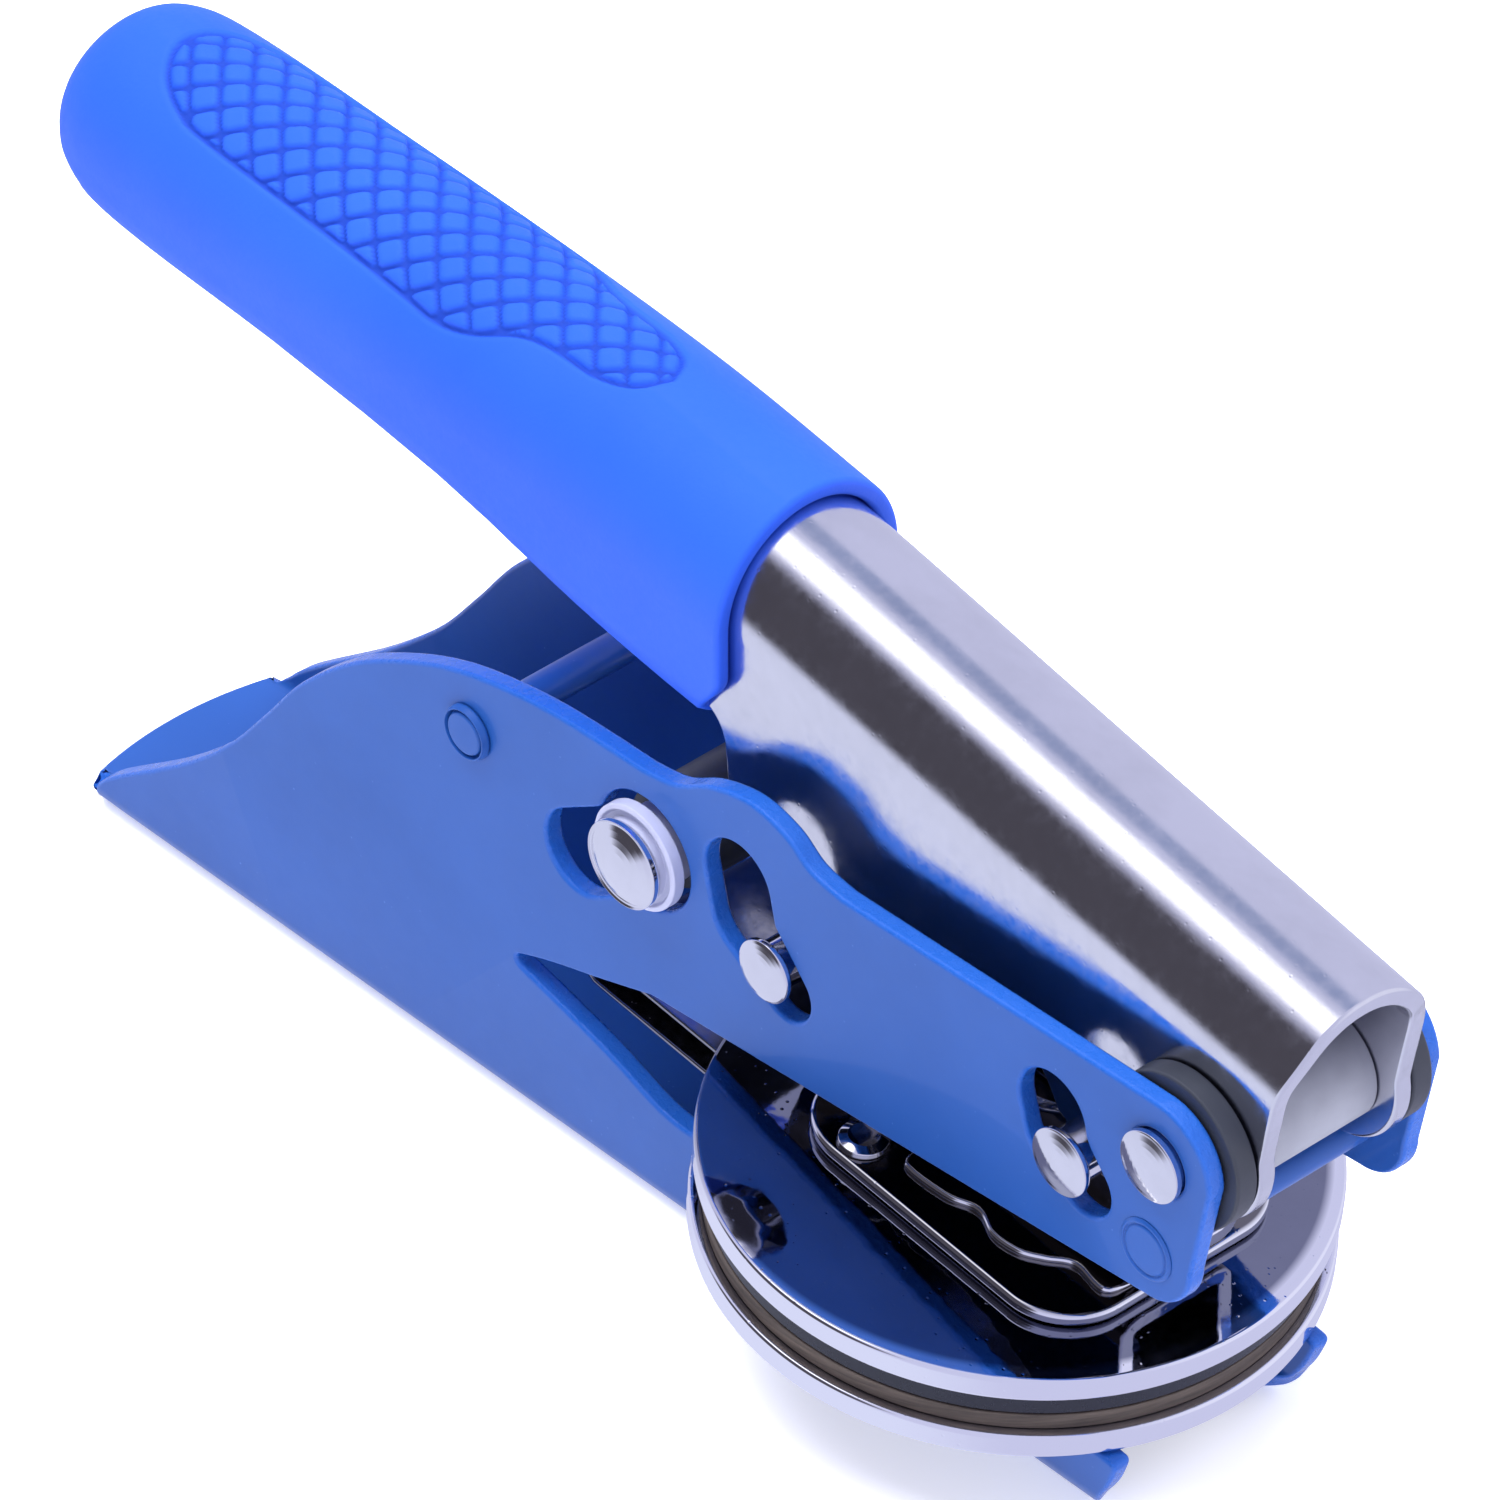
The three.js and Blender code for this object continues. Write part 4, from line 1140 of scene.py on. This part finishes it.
def build_pins():
    wall = FRAME_HALF + 0.25
    # Name, centre, shank and head radius, the head's seat, thickness and dome, body, node.
    for pin in (
        ("pivot_bolt", PIVOT, 3.0, 3.3, wall, 1.25, 0.65, "frame", "pivot_pin"),
        ("press_bolt", PRESS_PIN, 2.5, 3.15, wall, 1.25, 0.65, "presser", "press_pin"),
        ("guide_bolt", GUIDE_PIN, 2.2, 2.95, wall, 1.25, 0.6, "presser", "guide_pin"),
        ("lock_bolt", LOCK, 2.6, 4.1, FRAME_HALF + 2.1, 1.5, 1.1, "lock", "lock_pin"),
    ):
        pin_piece(*pin)
    collar_piece("near_collar", -1, "near_lock_collar")
    collar_piece("far_collar", 1, "far_lock_collar")
    inner = FRAME_HALF - FRAME_SHEET
    wash = LEVER_HALF + GAP
    # Name, centre, outer and inner radius, both ends, rounding, material, body, slot, node.
    for tube in (
        ("lock_tube", LOCK, LOCK_TUBE_R, LOCK_BORE, 0.5 - inner, inner - 0.5, 0.15,
         DARK, "lock", "dark_steel", "lock_spacer"),
        ("pivot_tube", PIVOT, SLEEVE_R, PIVOT_BORE, -SLEEVE_REACH, SLEEVE_REACH, 0.15,
         GREY, "frame", "grey_nylon", "pivot_sleeve"),
        ("near_washer", PIVOT, WASHER_R, PIVOT_BORE, GAP - inner, -wash, 0.3,
         DARK, "frame", "dark_steel", "near_pivot_washer"),
        ("far_washer", PIVOT, WASHER_R, PIVOT_BORE, wash, inner - GAP, 0.3,
         DARK, "frame", "dark_steel", "far_pivot_washer"),
        ("roller", PRESS_PIN, ROLLER_R, PRESS_BORE, -CHEEK_REACH, CHEEK_REACH, 0.15,
         SPRING, "presser", "spring_steel", "press_roller"),
        ("spacer", GUIDE_PIN, SPACER_R, GUIDE_BORE, -CHEEK_REACH, CHEEK_REACH, 0.15,
         SPRING, "presser", "spring_steel", "guide_spacer"),
    ):
        tube_piece(*tube)


def build_insert():
    piece("disc_below", disc_geometry(0), DISC, "frame", "mirror_chrome", "lower_disc")
    piece("disc_above", disc_geometry(UPPER_Z), DISC, "presser", "mirror_chrome", "upper_disc")
    low = DISC_THICK + DIE_SEAT
    piece("matrix", die_geometry(low, low + MATRIX_THICK), FIBRE, "frame", "fibre_board", "lower_matrix")
    high = UPPER_Z - DIE_SEAT
    piece("die", die_geometry(high - DIE_THICK, high), RESIN, "presser", "black_resin", "upper_die")
    strap_piece()
    presser_piece()
    ends = (("low", "lower", DISC_THICK, 1, "frame"), ("high", "upper", UPPER_Z, -1, "presser"))
    for side, y in (("near", -STRAP_RIVET_Y), ("far", STRAP_RIVET_Y)):
        for name, node, face, up, body in ends:
            tail, seat, crown = face - 1.2 * up, face + 0.72 * up, face + 1.2 * up
            rivet = rivet_geometry(STRAP_RIVET_X, y, tail, seat, crown, 1.0, 1.8)
            piece(f"{name}_rivet_{side}", rivet, SPRING, body, "spring_steel", f"{node}_strap_rivet_{side}")
    top = PLATE_Z + PLATE_THICK + 0.05
    for side, y in (("near", -PLATE_RIVET_Y), ("far", PLATE_RIVET_Y)):
        rivet = rivet_geometry(PLATE_RIVET_X, y, top - 2.4, top, top + 0.8, 1.25, 2.3)
        piece(f"foot_rivet_{side}", rivet, MIRROR, "presser", "spring_steel", f"presser_rivet_{side}")


# ---- floor, light and camera ----
FLOOR_HALF = 6.0
FLOOR_COLOR = (0.93, 0.93, 0.95)
# Cones of colour over the studio's base colour: direction, half angle and soft rim, colour.
STUDIO = (0.62, 0.63, 0.86)
STUDIO_CONES = (
    ((-0.5, -0.5, -0.7), 30, 30, (0.74, 0.77, 0.98)),
    ((-0.30, 0.31, 0.90), 3, 9, (0.31, 0.36, 0.58)),
    ((-0.40, -0.85, 0.33), 28, 13, (0.075, 0.070, 0.090)),
    ((-0.29, -0.20, 0.94), 6, 9, (1.7, 1.7, 1.8)),
    ((0.6, 0.7, 0.2), 25, 30, (0.80, 0.81, 1.0)),
)
LIGHT_TARGET = (-0.03, 0, 0.04)
# Name, place, width and height, power and colour.
LIGHTS = (
    ("key", (-0.20, -0.05, 0.95), (0.9, 0.9), 15, (1, 1, 1)),
    ("fill", (0.1, -0.9, 0.35), (0.7, 0.5), 2, (0.93, 0.95, 1)),
    ("back", (0.4, 0.8, 0.6), (0.7, 0.5), 4, (0.95, 0.96, 1)),
)
CAMERA_AT = (0.6946, -0.6640, 0.8221)
CAMERA_AZIMUTH = math.radians(47.58)
CAMERA_ELEVATION = math.radians(38.41)
CAMERA_LENS = 364.8
CAMERA_SENSOR = 36


def make_floor():
    corners = np.array([(-1, -1, 0), (1, -1, 0), (1, 1, 0), (-1, 1, 0)]) * FLOOR_HALF / MM
    floor = make_mesh("floor", corners, [(0, 1, 2, 3)])
    material, m = new_material("pale_floor")
    m.set(Base_Color=FLOOR_COLOR, Roughness=0.9, Emission_Color=FLOOR_COLOR, Emission_Strength=0.50)
    floor.data.materials.append(material)
    # The metal mirrors the studio around it instead of the sheet it stands on.
    floor.visible_glossy = False


def make_world():
    """A pale studio: light all round, a bright overhead panel and some darker parts."""
    world = bpy.data.worlds.new("studio")
    m = Nodes(world, "Background", "Generated")
    color = STUDIO
    for direction, wide, soft, shade in STUDIO_CONES:
        color = m.mix(m.toward(direction, wide, soft), color, shade)
    m.set(Color=color, Strength=1.0)
    bpy.context.scene.world = world


def aim(obj, back):
    """Turns a light or camera so that it looks against the direction back."""
    obj.rotation_mode = "QUATERNION"
    obj.rotation_quaternion = (-back).to_track_quat("-Z", "Y")
    bpy.context.scene.collection.objects.link(obj)


def make_lights():
    for name, at, size, power, color in LIGHTS:
        light = bpy.data.lights.new(name, "AREA")
        light.shape = "RECTANGLE"
        light.size, light.size_y = size
        light.energy = power
        light.color = color
        obj = bpy.data.objects.new(name, light)
        obj.location = at
        obj.visible_glossy = False
        aim(obj, Vector(at) - Vector(LIGHT_TARGET))


def make_camera():
    camera = bpy.data.cameras.new("camera")
    camera.lens = CAMERA_LENS
    camera.sensor_width = CAMERA_SENSOR
    camera.clip_start = 0.05
    camera.clip_end = 20
    obj = bpy.data.objects.new("camera", camera)
    obj.location = CAMERA_AT
    flat = math.cos(CAMERA_ELEVATION)
    aim(obj, Vector((math.sin(CAMERA_AZIMUTH) * flat, -math.cos(CAMERA_AZIMUTH) * flat,
                     math.sin(CAMERA_ELEVATION))))
    bpy.context.scene.camera = obj


build_lever_and_frame()
build_pins()
build_insert()
make_floor()
make_world()
make_lights()
make_camera()
bpy.context.scene.view_settings.view_transform = "Standard"
